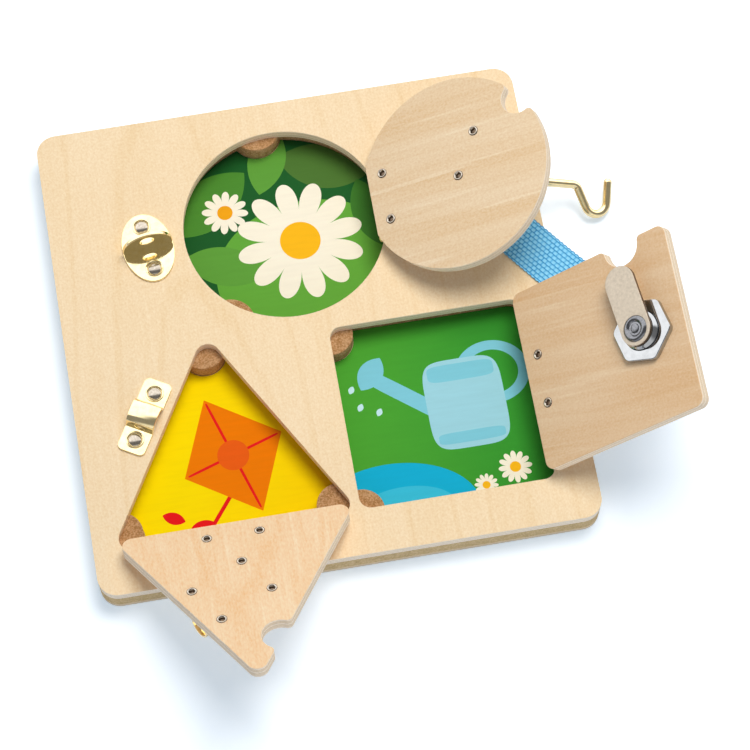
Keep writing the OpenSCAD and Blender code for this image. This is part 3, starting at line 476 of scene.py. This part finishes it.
def ply_edge(name, pivot, turn, low, high, pale, deep, recess_tint=None):
    """The cut edge of the plywood: pale long-grain plies and slightly darker end-grain ones;
    the tint, where given, makes the walls of the openings warmer and a little darker, a painted
    warm bounce light and shade in the recesses."""
    material, tree, shader, place_at = new_finish(name)
    lying = in_door(tree, place_at, pivot, turn)
    glue, waver = "cfb189", 0.5
    level = add(tree, "ShaderNodeSeparateXYZ", inputs={0: lying})
    ragged = add(tree, "ShaderNodeTexNoise", inputs={"Vector": lying, "Scale": 1.3, "Detail": 3})
    shifted = add(tree, "ShaderNodeMath", {"operation": "MULTIPLY_ADD"},
                  {0: ragged.outputs["Fac"], 1: waver, 2: level.outputs["Z"]})
    depth = add(tree, "ShaderNodeMapRange", inputs={
        "Value": shifted.outputs[0], "From Min": low + waver / 2, "From Max": high + waver / 2})
    plies = add(tree, "ShaderNodeValToRGB", inputs={"Fac": depth.outputs[0]}, stops=[
        (0.0, pale), (0.17, pale), (0.195, glue), (0.22, deep), (0.37, deep), (0.395, glue),
        (0.42, pale), (0.57, pale), (0.595, glue), (0.62, deep), (0.77, deep), (0.795, glue),
        (0.82, pale)])
    speck = add(tree, "ShaderNodeMapRange", inputs={
        "Value": add(tree, "ShaderNodeTexNoise", inputs={
            "Vector": lying, "Scale": 1.6, "Detail": 3}).outputs["Fac"],
        "From Min": 0.3, "From Max": 0.7, "To Min": 0.88, "To Max": 1.05})
    wood = add(tree, "ShaderNodeMix", {"data_type": "RGBA", "blend_type": "MULTIPLY"},
               {0: 1.0, 6: plies.outputs[0], 7: speck.outputs[0]}).outputs[2]
    # The walls inside the openings take the tint: painted bounce light and shade.
    if recess_tint:
        recess_tinted = add(tree, "ShaderNodeMix", {"data_type": "RGBA", "blend_type": "MULTIPLY"},
                      {0: 1.0, 6: wood, 7: linear(recess_tint)})
        wood = add(tree, "ShaderNodeMix", {"data_type": "RGBA"}, {
            0: outer_rim(tree, place_at), 6: recess_tinted.outputs[2], 7: wood}).outputs[2]
    tree.links.new(wood, shader.inputs["Base Color"])
    shader.inputs["Roughness"].default_value = 0.75
    shader.inputs["Specular IOR Level"].default_value = 0.2
    sawn = add(tree, "ShaderNodeBump", inputs={
        "Strength": 0.4, "Distance": 0.0001, "Height": ragged.outputs["Fac"]})
    tree.links.new(sawn.outputs[0], shader.inputs["Normal"])
    return material


flat = (0, 0, 0)
back_top = 3.5
core_top = 13.5
bm = eased("top_panel", 0.5)
mark_walls(bm, 1)
finish_piece("board_face", bm, [
    veneer("lacquered birch veneer", flat, flat, 0, ("edcd9c", "ffebcb"),
           [(0.05, 0.006, 2, 0.4), (0.9, 0.03, 3, 0.35), (1.0, 0.8, 2, 1.2)], 0.1, 0.14),
    ply_edge("birch plywood edge", flat, flat, core_top, top_z, "f8eddc", "ecdec6", "fff4e6")],
    "top_panel")
bm = eased("back_panel", 0.4)
mark_walls(bm, 1)
finish_piece("board_back", bm, [
    veneer("birch back veneer", flat, flat, 0, ("e6c592", "f9e2bf"),
           [(0.05, 0.006, 2, 0.6), (0.9, 0.03, 3, 0.5), (1.15, 0.85, 2, 0.8)], 0.1, 0.3),
    ply_edge("thin plywood edge", flat, flat, 0, back_top, "eee0c8", "d8c6a6")],
    "back_panel")

fibre_finish, tree, shader, place_at = new_finish("raw fibreboard")
# Pressed wood fibre: an even brown felt with light and dark specks, greyer on the outer
# edge, where it is sanded and has seen light, than inside the openings, where the lobes and
# walls are painted darker, partly their own tone and partly a painted shade of the recesses.
specks = add(tree, "ShaderNodeTexNoise", inputs={"Vector": place_at, "Scale": 1300, "Detail": 3})
felt = add(tree, "ShaderNodeTexNoise", inputs={"Vector": place_at, "Scale": 240, "Detail": 4})
spread = add(tree, "ShaderNodeMath", {"operation": "MULTIPLY_ADD"},
             {0: felt.outputs["Fac"], 1: 0.4, 2: -0.2})
spread = add(tree, "ShaderNodeMath", {"operation": "ADD"},
             {0: specks.outputs["Fac"], 1: spread.outputs[0]})
inner = add(tree, "ShaderNodeValToRGB", inputs={"Fac": spread.outputs[0]}, stops=[
    (0.34, "9f7549"), (0.5, "b98d62"), (0.66, "cca47b")])
outer = add(tree, "ShaderNodeValToRGB", inputs={"Fac": spread.outputs[0]}, stops=[
    (0.3, "b39a6c"), (0.5, "c9af82"), (0.7, "d8c298")])
felt_tone = add(tree, "ShaderNodeMix", {"data_type": "RGBA"}, {
    0: outer_rim(tree, place_at), 6: inner.outputs[0], 7: outer.outputs[0]})
tree.links.new(felt_tone.outputs[2], shader.inputs["Base Color"])
shader.inputs["Roughness"].default_value = 0.9
shader.inputs["Specular IOR Level"].default_value = 0.1
felted = add(tree, "ShaderNodeBump", inputs={
    "Strength": 0.4, "Distance": 0.00012, "Height": specks.outputs["Fac"]})
tree.links.new(felted.outputs[0], shader.inputs["Normal"])
finish_piece("board_core", eased("core_frame", 0.25), [fibre_finish], "core_frame")

# ---- Picture cards --------------------------------------------------------------------
# A printed and laminated card lies in each recess, with flat shapes in clear colours: a
# daisy among leaves, a watering can by a pond, and a kite.


def printed(tree, place_at, under, form, centre, size, turn, colour):
    """Prints one flat shape, a disc, leaf, ring, daisy, kite or block, over the colour that is
    under it; all in millimetres."""
    local = add(tree, "ShaderNodeMapping", {"vector_type": "TEXTURE"},
                {"Vector": place_at, "Location": (centre[0] * mm, centre[1] * mm, 0),
                 "Rotation": (0, 0, math.radians(turn)),
                 "Scale": (size[0] * mm, size[1] * mm, 1)}).outputs[0]
    flat_at = add(tree, "ShaderNodeVectorMath", {"operation": "MULTIPLY"},
                  {0: local, 1: (1, 1, 0)}).outputs[0]
    limit = 1.0
    if form in ("kite", "block"):
        power = 1.0 if form == "kite" else 5.0
        sides = add(tree, "ShaderNodeVectorMath", {"operation": "ABSOLUTE"}, {0: flat_at})
        apart = add(tree, "ShaderNodeSeparateXYZ", inputs={0: sides.outputs[0]})
        across = add(tree, "ShaderNodeMath", {"operation": "POWER"},
                     {0: apart.outputs["X"], 1: power})
        upright = add(tree, "ShaderNodeMath", {"operation": "POWER"},
                      {0: apart.outputs["Y"], 1: power})
        reach = add(tree, "ShaderNodeMath", {"operation": "ADD"},
                    {0: across.outputs[0], 1: upright.outputs[0]}).outputs[0]
    elif form == "leaf":
        waist = 0.9
        sides = add(tree, "ShaderNodeVectorMath", {"operation": "ABSOLUTE"}, {0: flat_at})
        moved = add(tree, "ShaderNodeVectorMath", {"operation": "ADD"},
                    {0: sides.outputs[0], 1: (0, waist, 0)})
        reach = add(tree, "ShaderNodeVectorMath", {"operation": "LENGTH"},
                    {0: moved.outputs[0]}).outputs["Value"]
        limit = math.hypot(1, waist)
    else:
        reach = add(tree, "ShaderNodeVectorMath", {"operation": "LENGTH"},
                    {0: flat_at}).outputs["Value"]
    if form == "ring":
        limit = 0.15
        off = add(tree, "ShaderNodeMath", {"operation": "SUBTRACT"}, {0: reach, 1: 1 - limit})
        reach = add(tree, "ShaderNodeMath", {"operation": "ABSOLUTE"},
                    {0: off.outputs[0]}).outputs[0]
    elif form == "daisy":
        petals = 12
        apart = add(tree, "ShaderNodeSeparateXYZ", inputs={0: flat_at})
        round_at = add(tree, "ShaderNodeMath", {"operation": "ARCTAN2"},
                       {0: apart.outputs["Y"], 1: apart.outputs["X"]})
        swing = add(tree, "ShaderNodeMath", {"operation": "MULTIPLY"},
                    {0: round_at.outputs[0], 1: petals / 2})
        wave = add(tree, "ShaderNodeMath", {"operation": "COSINE"}, {0: swing.outputs[0]})
        lobe = add(tree, "ShaderNodeMath", {"operation": "ABSOLUTE"}, {0: wave.outputs[0]})
        petal = add(tree, "ShaderNodeMath", {"operation": "POWER"}, {0: lobe.outputs[0], 1: 0.5})
        gap = add(tree, "ShaderNodeMath", {"operation": "MULTIPLY_ADD"},
                  {0: petal.outputs[0], 1: -0.5, 2: 0.5})
        reach = add(tree, "ShaderNodeMath", {"operation": "ADD"},
                    {0: reach, 1: gap.outputs[0]}).outputs[0]
    inside = add(tree, "ShaderNodeMath", {"operation": "LESS_THAN"}, {0: reach, 1: limit})
    return add(tree, "ShaderNodeMix", {"data_type": "RGBA"},
               {0: inside.outputs[0], 6: under, 7: linear(colour)}).outputs[2]


def card(node, ground, shapes):
    """Dresses a card: its ground colours from left to right, then its shapes in order."""
    material, tree, shader, place_at = new_finish("laminated print " + node)
    low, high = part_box(node)
    along = add(tree, "ShaderNodeSeparateXYZ", inputs={0: place_at})
    share = add(tree, "ShaderNodeMapRange", {"interpolation_type": "SMOOTHSTEP"}, {
        "Value": along.outputs["X"], "From Min": low.x, "From Max": high.x})
    colour = add(tree, "ShaderNodeValToRGB", inputs={"Fac": share.outputs[0]}, stops=[
        (0.0, ground[0]), (1.0, ground[1])]).outputs[0]
    for shape in shapes:
        colour = printed(tree, place_at, colour, *shape)
    wrinkle_at = add(tree, "ShaderNodeMapping", inputs={
        "Vector": place_at, "Scale": (60, 500, 60)})
    streaks = add(tree, "ShaderNodeTexNoise", inputs={
        "Vector": wrinkle_at.outputs[0], "Scale": 1.0, "Detail": 3})
    laid = add(tree, "ShaderNodeMapRange", inputs={
        "Value": streaks.outputs["Fac"], "From Min": 0.3, "From Max": 0.7,
        "To Min": 0.97, "To Max": 1.02})
    inked = add(tree, "ShaderNodeMix", {"data_type": "RGBA", "blend_type": "MULTIPLY"},
                {0: 1.0, 6: colour, 7: laid.outputs[0]})
    tree.links.new(inked.outputs[2], shader.inputs["Base Color"])
    tree.links.new(add(tree, "ShaderNodeMapRange", inputs={
        "Value": streaks.outputs["Fac"], "To Min": 0.48, "To Max": 0.60}).outputs[0],
        shader.inputs["Roughness"])
    shader.inputs["Specular IOR Level"].default_value = 0.15
    film = add(tree, "ShaderNodeBump", inputs={
        "Strength": 0.12, "Distance": 0.0001, "Height": streaks.outputs["Fac"]})
    tree.links.new(film.outputs[0], shader.inputs["Normal"])
    frame["nodes"][node].material_slots[0].material = material


card("picture_round", ("185423", "1c5a26"), [
    ("disc", (6, 34), (50, 40), 0, "64a83c"),
    ("leaf", (-42, 80), (26, 30), 35, "4c8a31"),
    ("leaf", (-38, 44), (22, 24), -20, "5f9e3c"),
    ("leaf", (20, 92), (24, 28), 160, "4c7431"),
    ("leaf", (-8, 100), (20, 22), 70, "5f9e3c"),
    ("leaf", (40, 62), (20, 20), 100, "3f7a2c"),
    ("daisy", (2, 52), (33, 33), 8, "fff7e1"),
    ("disc", (2, 52), (10.5, 10.5), 0, "ffbe1e"),
    ("daisy", (-34, 74), (12, 12), 20, "fff7e1"),
    ("disc", (-34, 74), (4, 4), 0, "f5a81a")])
# Its ground darkens from left to right, towards the door's hinge.
card("picture_square", ("4ca332", "35932f"), [
    ("disc", (24, -104), (44, 28), 0, "16b2da"),
    ("disc", (30, -102), (26, 13), 0, "3cc3e2"),
    ("ring", (86, -36), (19, 17), 0, "82cdde"),
    ("block", (44, -44), (27, 4), -38, "82cdde"),
    ("leaf", (25, -27), (10, 14), 52, "82cdde"),
    ("block", (70, -50), (20, 24), 0, "a0d7e4"),
    ("block", (70, -33), (17, 4.5), 0, "82cdde"),
    ("block", (70, -68), (17, 3), 0, "82cdde"),
    ("daisy", (88, -88), (8.5, 8.5), 0, "fff7e1"),
    ("disc", (88, -88), (2.8, 2.8), 0, "ffbe1e"),
    ("daisy", (72, -95), (6, 6), 20, "fff7e1"),
    ("disc", (72, -95), (2, 2), 0, "ffbe1e"),
    ("leaf", (14, -34), (2.2, 3.4), 60, "c9eef5"),
    ("leaf", (17, -44), (2.2, 3.4), 60, "c9eef5"),
    ("leaf", (26, -48), (2.2, 3.4), 60, "c9eef5")])
card("picture_triangle", ("ffe600", "ffd900"), [
    ("block", (-60, -86), (1.0, 22), -38, "e6191d"),
    ("kite", (-50, -58), (27, 33), 18, "f07d00"),
    ("block", (-50, -58), (0.7, 31), 18, "e6191d"),
    ("block", (-50, -58), (25, 0.7), 18, "e6191d"),
    ("disc", (-50, -58), (8, 8), 0, "eb5f14"),
    ("leaf", (-71, -93), (7, 8), 15, "e6191d"),
    ("leaf", (-84, -86), (6, 7), -25, "e6191d")])

# ---- Doors ----------------------------------------------------------------------------
# Cut from the same plywood sheet as the face, each with a finger notch, sanded all round.
# The veneer turned to the eye has its own run of grain on each door.
hinge_z = 20.85
round_hinge_x = 42.6
square_hinge_x = 104.4
triangle_hinge_y = -102.7
door_low, door_high = -7.15, -1.35
doors = {
    "round_door_panel": (
        (round_hinge_x, 0, hinge_z), "Y", 153.0, 86, ("dcb480", "f6e3c5"), [
        (0.07, 0.005, 2, 0.7), (0.5, 0.012, 3, 0.45), (1.0, 0.8, 2, 0.85)], 0.35, 0.0),
    "square_door_panel": (
        (square_hinge_x, 0, hinge_z), "Y", 138.5, 80, ("dbad79", "f3dab8"), [
        (0.05, 0.01, 3, 0.8), (0.5, 0.014, 3, 0.35), (1.0, 0.8, 2, 0.75)], 0.25, 0.1),
    "triangle_door_panel": (
        (0, triangle_hinge_y, hinge_z), "X", 152.3, 0, ("f0c08b", "fce6c4"), [
        (0.10, 0.022, 3, 0.6), (0.8, 0.07, 2, 0.5), (1.1, 0.45, 2, 1.1)], 0.2, 0.15),
}
opened = {}
for node, (pivot, axis, degrees, grain, tones, layers, streaks, arcs) in doors.items():
    body = node_body[node]
    opened[body] = hinged(pivot, axis, degrees)
    turn = (0, degrees, 0) if axis == "Y" else (degrees, 0, 0)
    bm = eased(node, 0.7, opened[body], 3)
    mark_walls(bm, 1)
    finish_piece(body + "_plywood", bm, [
        veneer(body + " birch veneer", pivot, turn, grain, tones, layers, streaks, arcs),
        ply_edge(body + " plywood edge", pivot, turn, door_low, door_high, "fae9d2", "efdabc")],
        node, opened[body])

# ---- Brass fittings -------------------------------------------------------------------
# Pressed, bent and drawn from brass-plated steel, tumbled bright, so that the edges are
# soft and every flat mirrors the room: hinges, eye, hook plate, keeper and slide bolt.


def bright_metal(name, colour, rough, grit):
    """Polished plating with faint handling marks; grit is the size of a mark in mm."""
    material, tree, shader, place_at = new_finish(name)
    shader.inputs["Metallic"].default_value = 1.0
    marks = add(tree, "ShaderNodeTexNoise", inputs={
        "Vector": place_at, "Scale": 1 / (grit * mm), "Detail": 3})
    worn = add(tree, "ShaderNodeValToRGB", inputs={"Fac": marks.outputs["Fac"]}, stops=[
        (0.3, colour[0]), (0.7, colour[1])])
    tree.links.new(worn.outputs[0], shader.inputs["Base Color"])
    tree.links.new(add(tree, "ShaderNodeMapRange", inputs={
        "Value": marks.outputs["Fac"], "From Min": 0.35, "From Max": 0.7,
        "To Min": rough[0], "To Max": rough[1]}).outputs[0], shader.inputs["Roughness"])
    dimpled = add(tree, "ShaderNodeBump", inputs={
        "Strength": 0.05, "Distance": 0.00002, "Height": marks.outputs["Fac"]})
    tree.links.new(dimpled.outputs[0], shader.inputs["Normal"])
    return material


def turned(profile, steps=32):
    """A turned piece: a profile of (radius, height) pairs spun about its own axis."""
    bm = bmesh.new()
    verts = [bm.verts.new((r, 0, z)) for r, z in profile]
    edges = [bm.edges.new(ends) for ends in zip(verts, verts[1:])]
    bmesh.ops.spin(bm, geom=verts + edges, cent=(0, 0, 0), axis=(0, 0, 1), angle=2 * math.pi,
                   steps=steps, use_merge=True)
    bmesh.ops.remove_doubles(bm, verts=bm.verts, dist=0.001)
    return bm


def spot(x, y, z=0.0, turn=0.0):
    """A place in millimetres, turned by degrees about the upright axis."""
    return Matrix.Translation((x, y, z)) @ Matrix.Rotation(math.radians(turn), 4, "Z")


brass_finish = bright_metal("polished brass plating", ("fcebbd", "f4e0aa"), (0.05, 0.13), 2.5)
plate_top = top_z + 1.4
eye_at = spot(-75.8, 53.8, plate_top, 98)
hook_plate_at = spot(-13.5, 63.8, plate_top, 121.6)
bolt_at = spot(-61.2, -56.7, top_z, 150)
keeper_at = bolt_at @ spot(35.3, -3.0, 1.3)
pair = (-1, 1)
plate_rivet = 12.0
keeper_rivet = 13.0
pressed_rim = [(3.7, -0.3), (3.85, 0.1), (4.15, 0.28), (4.5, 0.2), (4.75, -0.1), (4.6, -0.3),
               (3.7, -0.3)]
rims = {"eye_plate": [eye_at @ spot(s * plate_rivet, 0) for s in pair],
        "hook_plate": [opened["round_door"] @ hook_plate_at @ spot(s * plate_rivet, 0)
                       for s in pair]}
for node, name, ease in [
        ("board_leaf_round", "round_hinge_board_leaf", 0.2),
        ("board_leaf_square", "square_hinge_board_leaf", 0.2),
        ("board_leaf_triangle", "triangle_hinge_board_leaf", 0.2),
        ("round_door_leaf", "round_hinge_door_leaf", 0.2),
        ("square_door_leaf", "square_hinge_door_leaf", 0.2),
        ("triangle_door_leaf", "triangle_hinge_door_leaf", 0.2),
        ("round_hinge_pin", "round_hinge_rod", 0.15),
        ("square_hinge_pin", "square_hinge_rod", 0.15),
        ("triangle_hinge_pin", "triangle_hinge_rod", 0.15),
        ("eye_plate", "brass_eye", 0.35),
        ("hook_plate", "brass_hook_plate", 0.35),
        ("bolt_barrel", "brass_barrel", 0.3),
        ("bolt_rod", "brass_bolt", 0.4)]:
    bm = eased(node, ease)
    for where in rims.get(node, []):
        join(bm, turned(pressed_rim), where)
    finish_piece(name, bm, [brass_finish], node)

# The keeper's strip is bent over a bar, so its bridge is a little crowned.
bridge_half = 5.0
bridge_low = 3.0
crown = 0.4
keeper = eased("bolt_keeper", 0.3, keeper_at)
for y in (-2.4, -1.6, -0.8, 0, 0.8, 1.6, 2.4):
    bmesh.ops.bisect_plane(keeper, geom=keeper.verts[:] + keeper.edges[:] + keeper.faces[:],
                           plane_co=(0, y, 0), plane_no=(0, 1, 0))
for vert in keeper.verts:
    if abs(vert.co.y) < bridge_half and vert.co.z > bridge_low:
        vert.co.z += crown * math.cos(math.pi * vert.co.y / (2 * bridge_half)) ** 2
for s in pair:
    join(keeper, turned(pressed_rim), spot(0, s * keeper_rivet))
finish_piece("brass_keeper", keeper, [brass_finish], "bolt_keeper", keeper_at)

# ---- Hook -----------------------------------------------------------------------------
# Brass wire, turned down to four millimetres for the pin with its upset head: a square bend,
# a straight shaft, and a round hook at the end, all bent cold round pegs.
pin_r = 2.0
pin_top = 3.3
head_r = 2.5
head_steps = [(0.25, 2.8), (0.45, 2.6), (0.1, pin_r)]
swell_l = 0.8
shaft_r = 2.2
shaft_l = 56.4
heel_r = 2.2
hook_yaw = 16.6
hook_side = 6.5
heel_turn = 90 + hook_yaw
bend_r = 4.0
bend_turn = 61.6
neck_l = 10.1
curl_r = 6.4
tip_l = 10.4
hook_hang = 51.4
eyelet_z = 9.8
heel_cut = heel_r * math.tan(math.radians(heel_turn / 2))
bend_cut = bend_r * math.tan(math.radians(bend_turn / 2))
bm = bmesh.new()
here, heading = Vector((0, pin_top, 0)), Vector((0, -1, 0))
along_y = Matrix.Rotation(math.pi / 2, 4, "X")
head = bmesh.ops.create_circle(bm, cap_ends=True, segments=20, radius=head_r,
                               matrix=Matrix.Translation(here) @ along_y)
ring = {"geom_last": head["verts"] + list({e for v in head["verts"] for e in v.link_edges})}


def resize(ring, here, factor):
    """Widens or narrows the open ring of the wire."""
    verts = [v for v in ring["geom_last"] if isinstance(v, bmesh.types.BMVert)]
    bmesh.ops.scale(bm, vec=(factor, factor, factor), space=Matrix.Translation(-here), verts=verts)


def run(length):
    """Draws the wire on, straight."""
    global ring, here
    ring = drawn(bm, ring, heading * length)
    here = here + heading * length


def bend(radius, degrees):
    """Bends the wire in its plane; left turns are positive."""
    global ring, here, heading
    side = math.copysign(1, degrees)
    centre = here + side * radius * Vector((-heading.y, heading.x, 0))
    ring = bmesh.ops.spin(bm, geom=ring["geom_last"], cent=centre, axis=(0, 0, 1),
                          angle=math.radians(degrees), steps=max(4, round(abs(degrees) / 9)))
    turn = Matrix.Rotation(math.radians(degrees), 4, "Z")
    here = centre + turn @ (here - centre)
    heading = turn @ heading


before = head_r
for length, after in head_steps:
    run(length)
    resize(ring, here, after / before)
    before = after
run(pin_top - sum(length for length, after in head_steps)
    + hook_side / math.cos(math.radians(hook_yaw)) - heel_cut)
bend(heel_r, heel_turn)
run(swell_l)
resize(ring, here, shaft_r / pin_r)
run(shaft_l - heel_cut - bend_cut)
bend(bend_r, -bend_turn)
run(neck_l)
bend(curl_r, 90 + bend_turn)
run(tip_l)
tip_step = math.radians(22.5)
for a in (tip_step, 2 * tip_step, 3 * tip_step):
    run(shaft_r * (math.sin(a) - math.sin(a - tip_step)))
    resize(ring, here, math.cos(a) / math.cos(a - tip_step))
bmesh.ops.holes_fill(bm, edges=[e for e in bm.edges if e.is_boundary])
hook_place = (opened["round_door"] @ hook_plate_at @ Matrix.Translation((0, 0, eyelet_z))
              @ Matrix.Rotation(math.radians(hook_hang), 4, "X")
              @ Matrix.Rotation(math.pi, 4, Vector((1, 1, 0))))
finish_piece("brass_hook", bm, [brass_finish], "hook", hook_place)

# ---- Bolt knob ------------------------------------------------------------------------
# A turned ball on a short neck, riveted into the bolt through the barrel's slot and tumbled
# bright like the other fittings.
ball_z, ball_r = 15.0, 4.2
neck_low, neck_high, neck_r = 5.5, 11.0, 2.0
ball = [(ball_r * math.cos(math.radians(a)), ball_z + ball_r * math.sin(math.radians(a)))
        for a in range(-55, 86, 10)]
knob = turned([(0, neck_low), (neck_r, neck_low), (neck_r, neck_high)] + ball
              + [(0, ball_z + ball_r)])
finish_piece("brass_knob", knob, [brass_finish], "bolt_knob",
             opened["triangle_door"] @ bolt_at @ spot(-8.9, -3.0))

# ---- Rivets ---------------------------------------------------------------------------
# Nickel-plated tubular rivets: a domed head on the fitting, and on the far side of a door a
# rolled ring round the hollow shank. The hollow and the ring's outer rim are painted dark
# steel, a painted shade.
rivet_finish = bright_metal("nickel plating", ("c4bbae", "a89d8f"), (0.12, 0.26), 1.2)
# A dark steel: the cam's cut edges, and painted shade in the rivets' hollows and round their
# rolled rings.
shade_and_cut_edge_finish = bright_metal("dark steel and painted hollow shade", ("8d7a68", "6d5c4c"), (0.40, 0.60), 0.6)
shank_r = 1.9
bore_r = 1.2
board_grip, keeper_grip = 6.9, 6.8
door_grip, barrel_grip = 6.7, 6.8


def dome(radius, height):
    """The profile of a domed head, from its top to its rim."""
    return [(radius * math.cos(math.radians(a)), height * math.sin(math.radians(a)))
            for a in range(90, -1, -10)]


def tubular(grip, radius=3.4, height=1.3):
    """A rivet whose tail is rolled out at -grip, its shank hollow from below."""
    bm = turned(dome(radius, height) + [
        (shank_r, 0), (shank_r, -grip), (2.5, -grip), (2.6, -grip - 0.1), (2.4, -grip - 0.2),
        (2.3, -grip - 0.36), (2.0, -grip - 0.46), (1.7, -grip - 0.38), (1.45, -grip - 0.1),
        (bore_r, 0.3 - grip), (bore_r - 0.1, 1.0 - grip), (0, 0.9 - grip)], 24)
    # The bore and the outer rim of the rolled ring get the dark finish, a painted shade.
    for face in bm.faces:
        middle = face.calc_center_median()
        if middle.z < 0 and not bore_r + 0.1 < math.hypot(middle.x, middle.y) < 2.3:
            face.material_index = 1
    return bm


def blind(grip, radius=3.4, height=1.3):
    """A rivet whose shank ends inside the board."""
    return turned(dome(radius, height) + [(shank_r, 0), (shank_r, -grip), (0, -grip)], 24)


def rivet_set(shapes, name, node, place=Matrix()):
    """Joins (shape, place) pairs into one piece."""
    group = bmesh.new()
    for shape, where in shapes:
        join(group, shape, where)
    finish_piece(name, group, [rivet_finish, shade_and_cut_edge_finish], node, place)


leaf_top = 20.4
sunk = spot(0, 0, -0.5)
round_pin = spot(round_hinge_x, 56.8, leaf_top)
square_pin = spot(square_hinge_x, -54.4, leaf_top)
triangle_pin = spot(-56.4, triangle_hinge_y, leaf_top, -90)
on_board = [spot(9.5, s * 12.9) for s in pair]
on_door = [spot(-9.5, s * 12.9) for s in pair]
rivet_set([(blind(board_grip), pin @ hole) for pin in (round_pin, square_pin, triangle_pin)
           for hole in on_board]
          + [(blind(board_grip), eye_at @ spot(s * plate_rivet, 0) @ sunk) for s in pair]
          + [(blind(keeper_grip), keeper_at @ spot(0, s * keeper_rivet) @ sunk) for s in pair],
          "board_rivet_heads", "board_rivets")
rivet_set([(tubular(door_grip), round_pin @ hole) for hole in on_door]
          + [(tubular(door_grip), hook_plate_at @ spot(s * plate_rivet, 0) @ sunk) for s in pair],
          "round_door_rivet_set", "round_door_rivets", opened["round_door"])
rivet_set([(tubular(door_grip), square_pin @ hole) for hole in on_door],
          "square_door_rivet_set", "square_door_rivets", opened["square_door"])
rivet_set([(tubular(door_grip), triangle_pin @ hole) for hole in on_door]
          + [(tubular(barrel_grip, 2.4, 1.1), bolt_at @ spot(s * 14.8, t * 12.05, 1))
             for s in pair for t in pair],
          "triangle_door_rivet_set", "triangle_door_rivets", opened["triangle_door"])

# ---- Lock -----------------------------------------------------------------------------
# A furniture cam lock: a die-cast body with a rolled thread, a hexagon nut against the
# plywood, a stamped cam, the hollow screw that holds it, and the key in its plug.
chrome_finish = bright_metal("chrome plating", ("b4b6b8", "a8aaac"), (0.04, 0.12), 3.0)
steel_finish = bright_metal("bright zinc-plated steel", ("85868a", "6f7074"), (0.14, 0.26), 0.8)
lock_place = opened["square_door"] @ spot(31.8, -54.2, top_z)
thread_r, root_r, pitch = 9.5, 8.85, 1.25
plug_bore, body_end = 6.05, -11.3
profile = [(plug_bore, body_end), (8.6, body_end)]
for z in (-11.0, -9.75, -8.5, -7.25):
    profile += [(root_r, z), (thread_r, z + pitch / 2)]
profile += [(9.3, -5.8), (9.3, 0), (11.6, 0), (12, 0.3), (11.2, 2.8), (10.8, 3), (6.3, 3),
            (plug_bore, 2.8), (plug_bore, body_end)]
finish_piece("threaded_lock_body", turned(profile, 48), [chrome_finish], "lock_housing",
             lock_place, crease=25)
screw = turned([(0, -14.6), (1.6, -14.6), (2.2, -14.4), (2.4, -14.0), (3.3, -13.95), (3.6, -14.3),
                (4.2, -14.8), (4.9, -15.0), (5.7, -14.85), (6.3, -14.4), (6.6, -13.7),
                (2.0, -13.7), (2.0, -8.4), (0, -8.4)], 48)
finish_piece("cam_fixing_screw", screw, [steel_finish], "cam_screw", lock_place)
nut = eased("lock_nut", 0, lock_place)
nut_flat_r = 12.0
corners = [e for e in nut.edges if abs(e.verts[0].co.z - e.verts[1].co.z) > 2
           and math.hypot(*e.verts[0].co.xy) > nut_flat_r]
bmesh.ops.bevel(nut, geom=corners, offset=1.9, segments=4, profile=0.5, affect="EDGES",
                material=-1)
rim = [e for e in nut.edges if e.calc_face_angle(0) > 1]
bmesh.ops.bevel(nut, geom=rim, offset=0.5, segments=3, profile=0.5, affect="EDGES", material=-1)
finish_piece("hexagon_lock_nut", nut, [chrome_finish], "lock_nut", lock_place)
for node, name, ease in [
        ("lock_plug", "lock_core", 0.2),
        ("key", "steel_key", 0.4),
        ("strap_washer", "strap_fixing_washer", 0.2),
        ("strap_screw", "strap_fixing_screw", 0.0)]:
    finish_piece(name, eased(node, ease, segments=3), [chrome_finish], node)

zinc_finish, tree, shader, place_at = new_finish("passivated zinc plate")
# Barrel-plated and dipped: a warm grey, satin and a little cloudy, with fine scratches.
cloudy = add(tree, "ShaderNodeTexNoise", inputs={"Vector": place_at, "Scale": 700, "Detail": 4})
scratch_at = add(tree, "ShaderNodeMapping", inputs={"Vector": place_at, "Scale": (1800, 160, 400)})
scratches = add(tree, "ShaderNodeTexNoise", inputs={
    "Vector": scratch_at.outputs[0], "Scale": 1.0, "Detail": 2})
plated = add(tree, "ShaderNodeValToRGB", inputs={"Fac": cloudy.outputs["Fac"]}, stops=[
    (0.3, "c6b8a4"), (0.7, "d8cab6")])
tree.links.new(plated.outputs[0], shader.inputs["Base Color"])
shader.inputs["Metallic"].default_value = 0.3
tree.links.new(add(tree, "ShaderNodeMapRange", inputs={
    "Value": scratches.outputs["Fac"], "To Min": 0.32, "To Max": 0.5}).outputs[0],
    shader.inputs["Roughness"])
scored = add(tree, "ShaderNodeBump", inputs={
    "Strength": 0.3, "Distance": 0.00005, "Height": scratches.outputs["Fac"]})
tree.links.new(scored.outputs[0], shader.inputs["Normal"])
cam = eased("lock_cam", 0.25, lock_place)
mark_walls(cam, 1)
finish_piece("lock_cam_plate", cam, [zinc_finish, shade_and_cut_edge_finish], "lock_cam", lock_place)
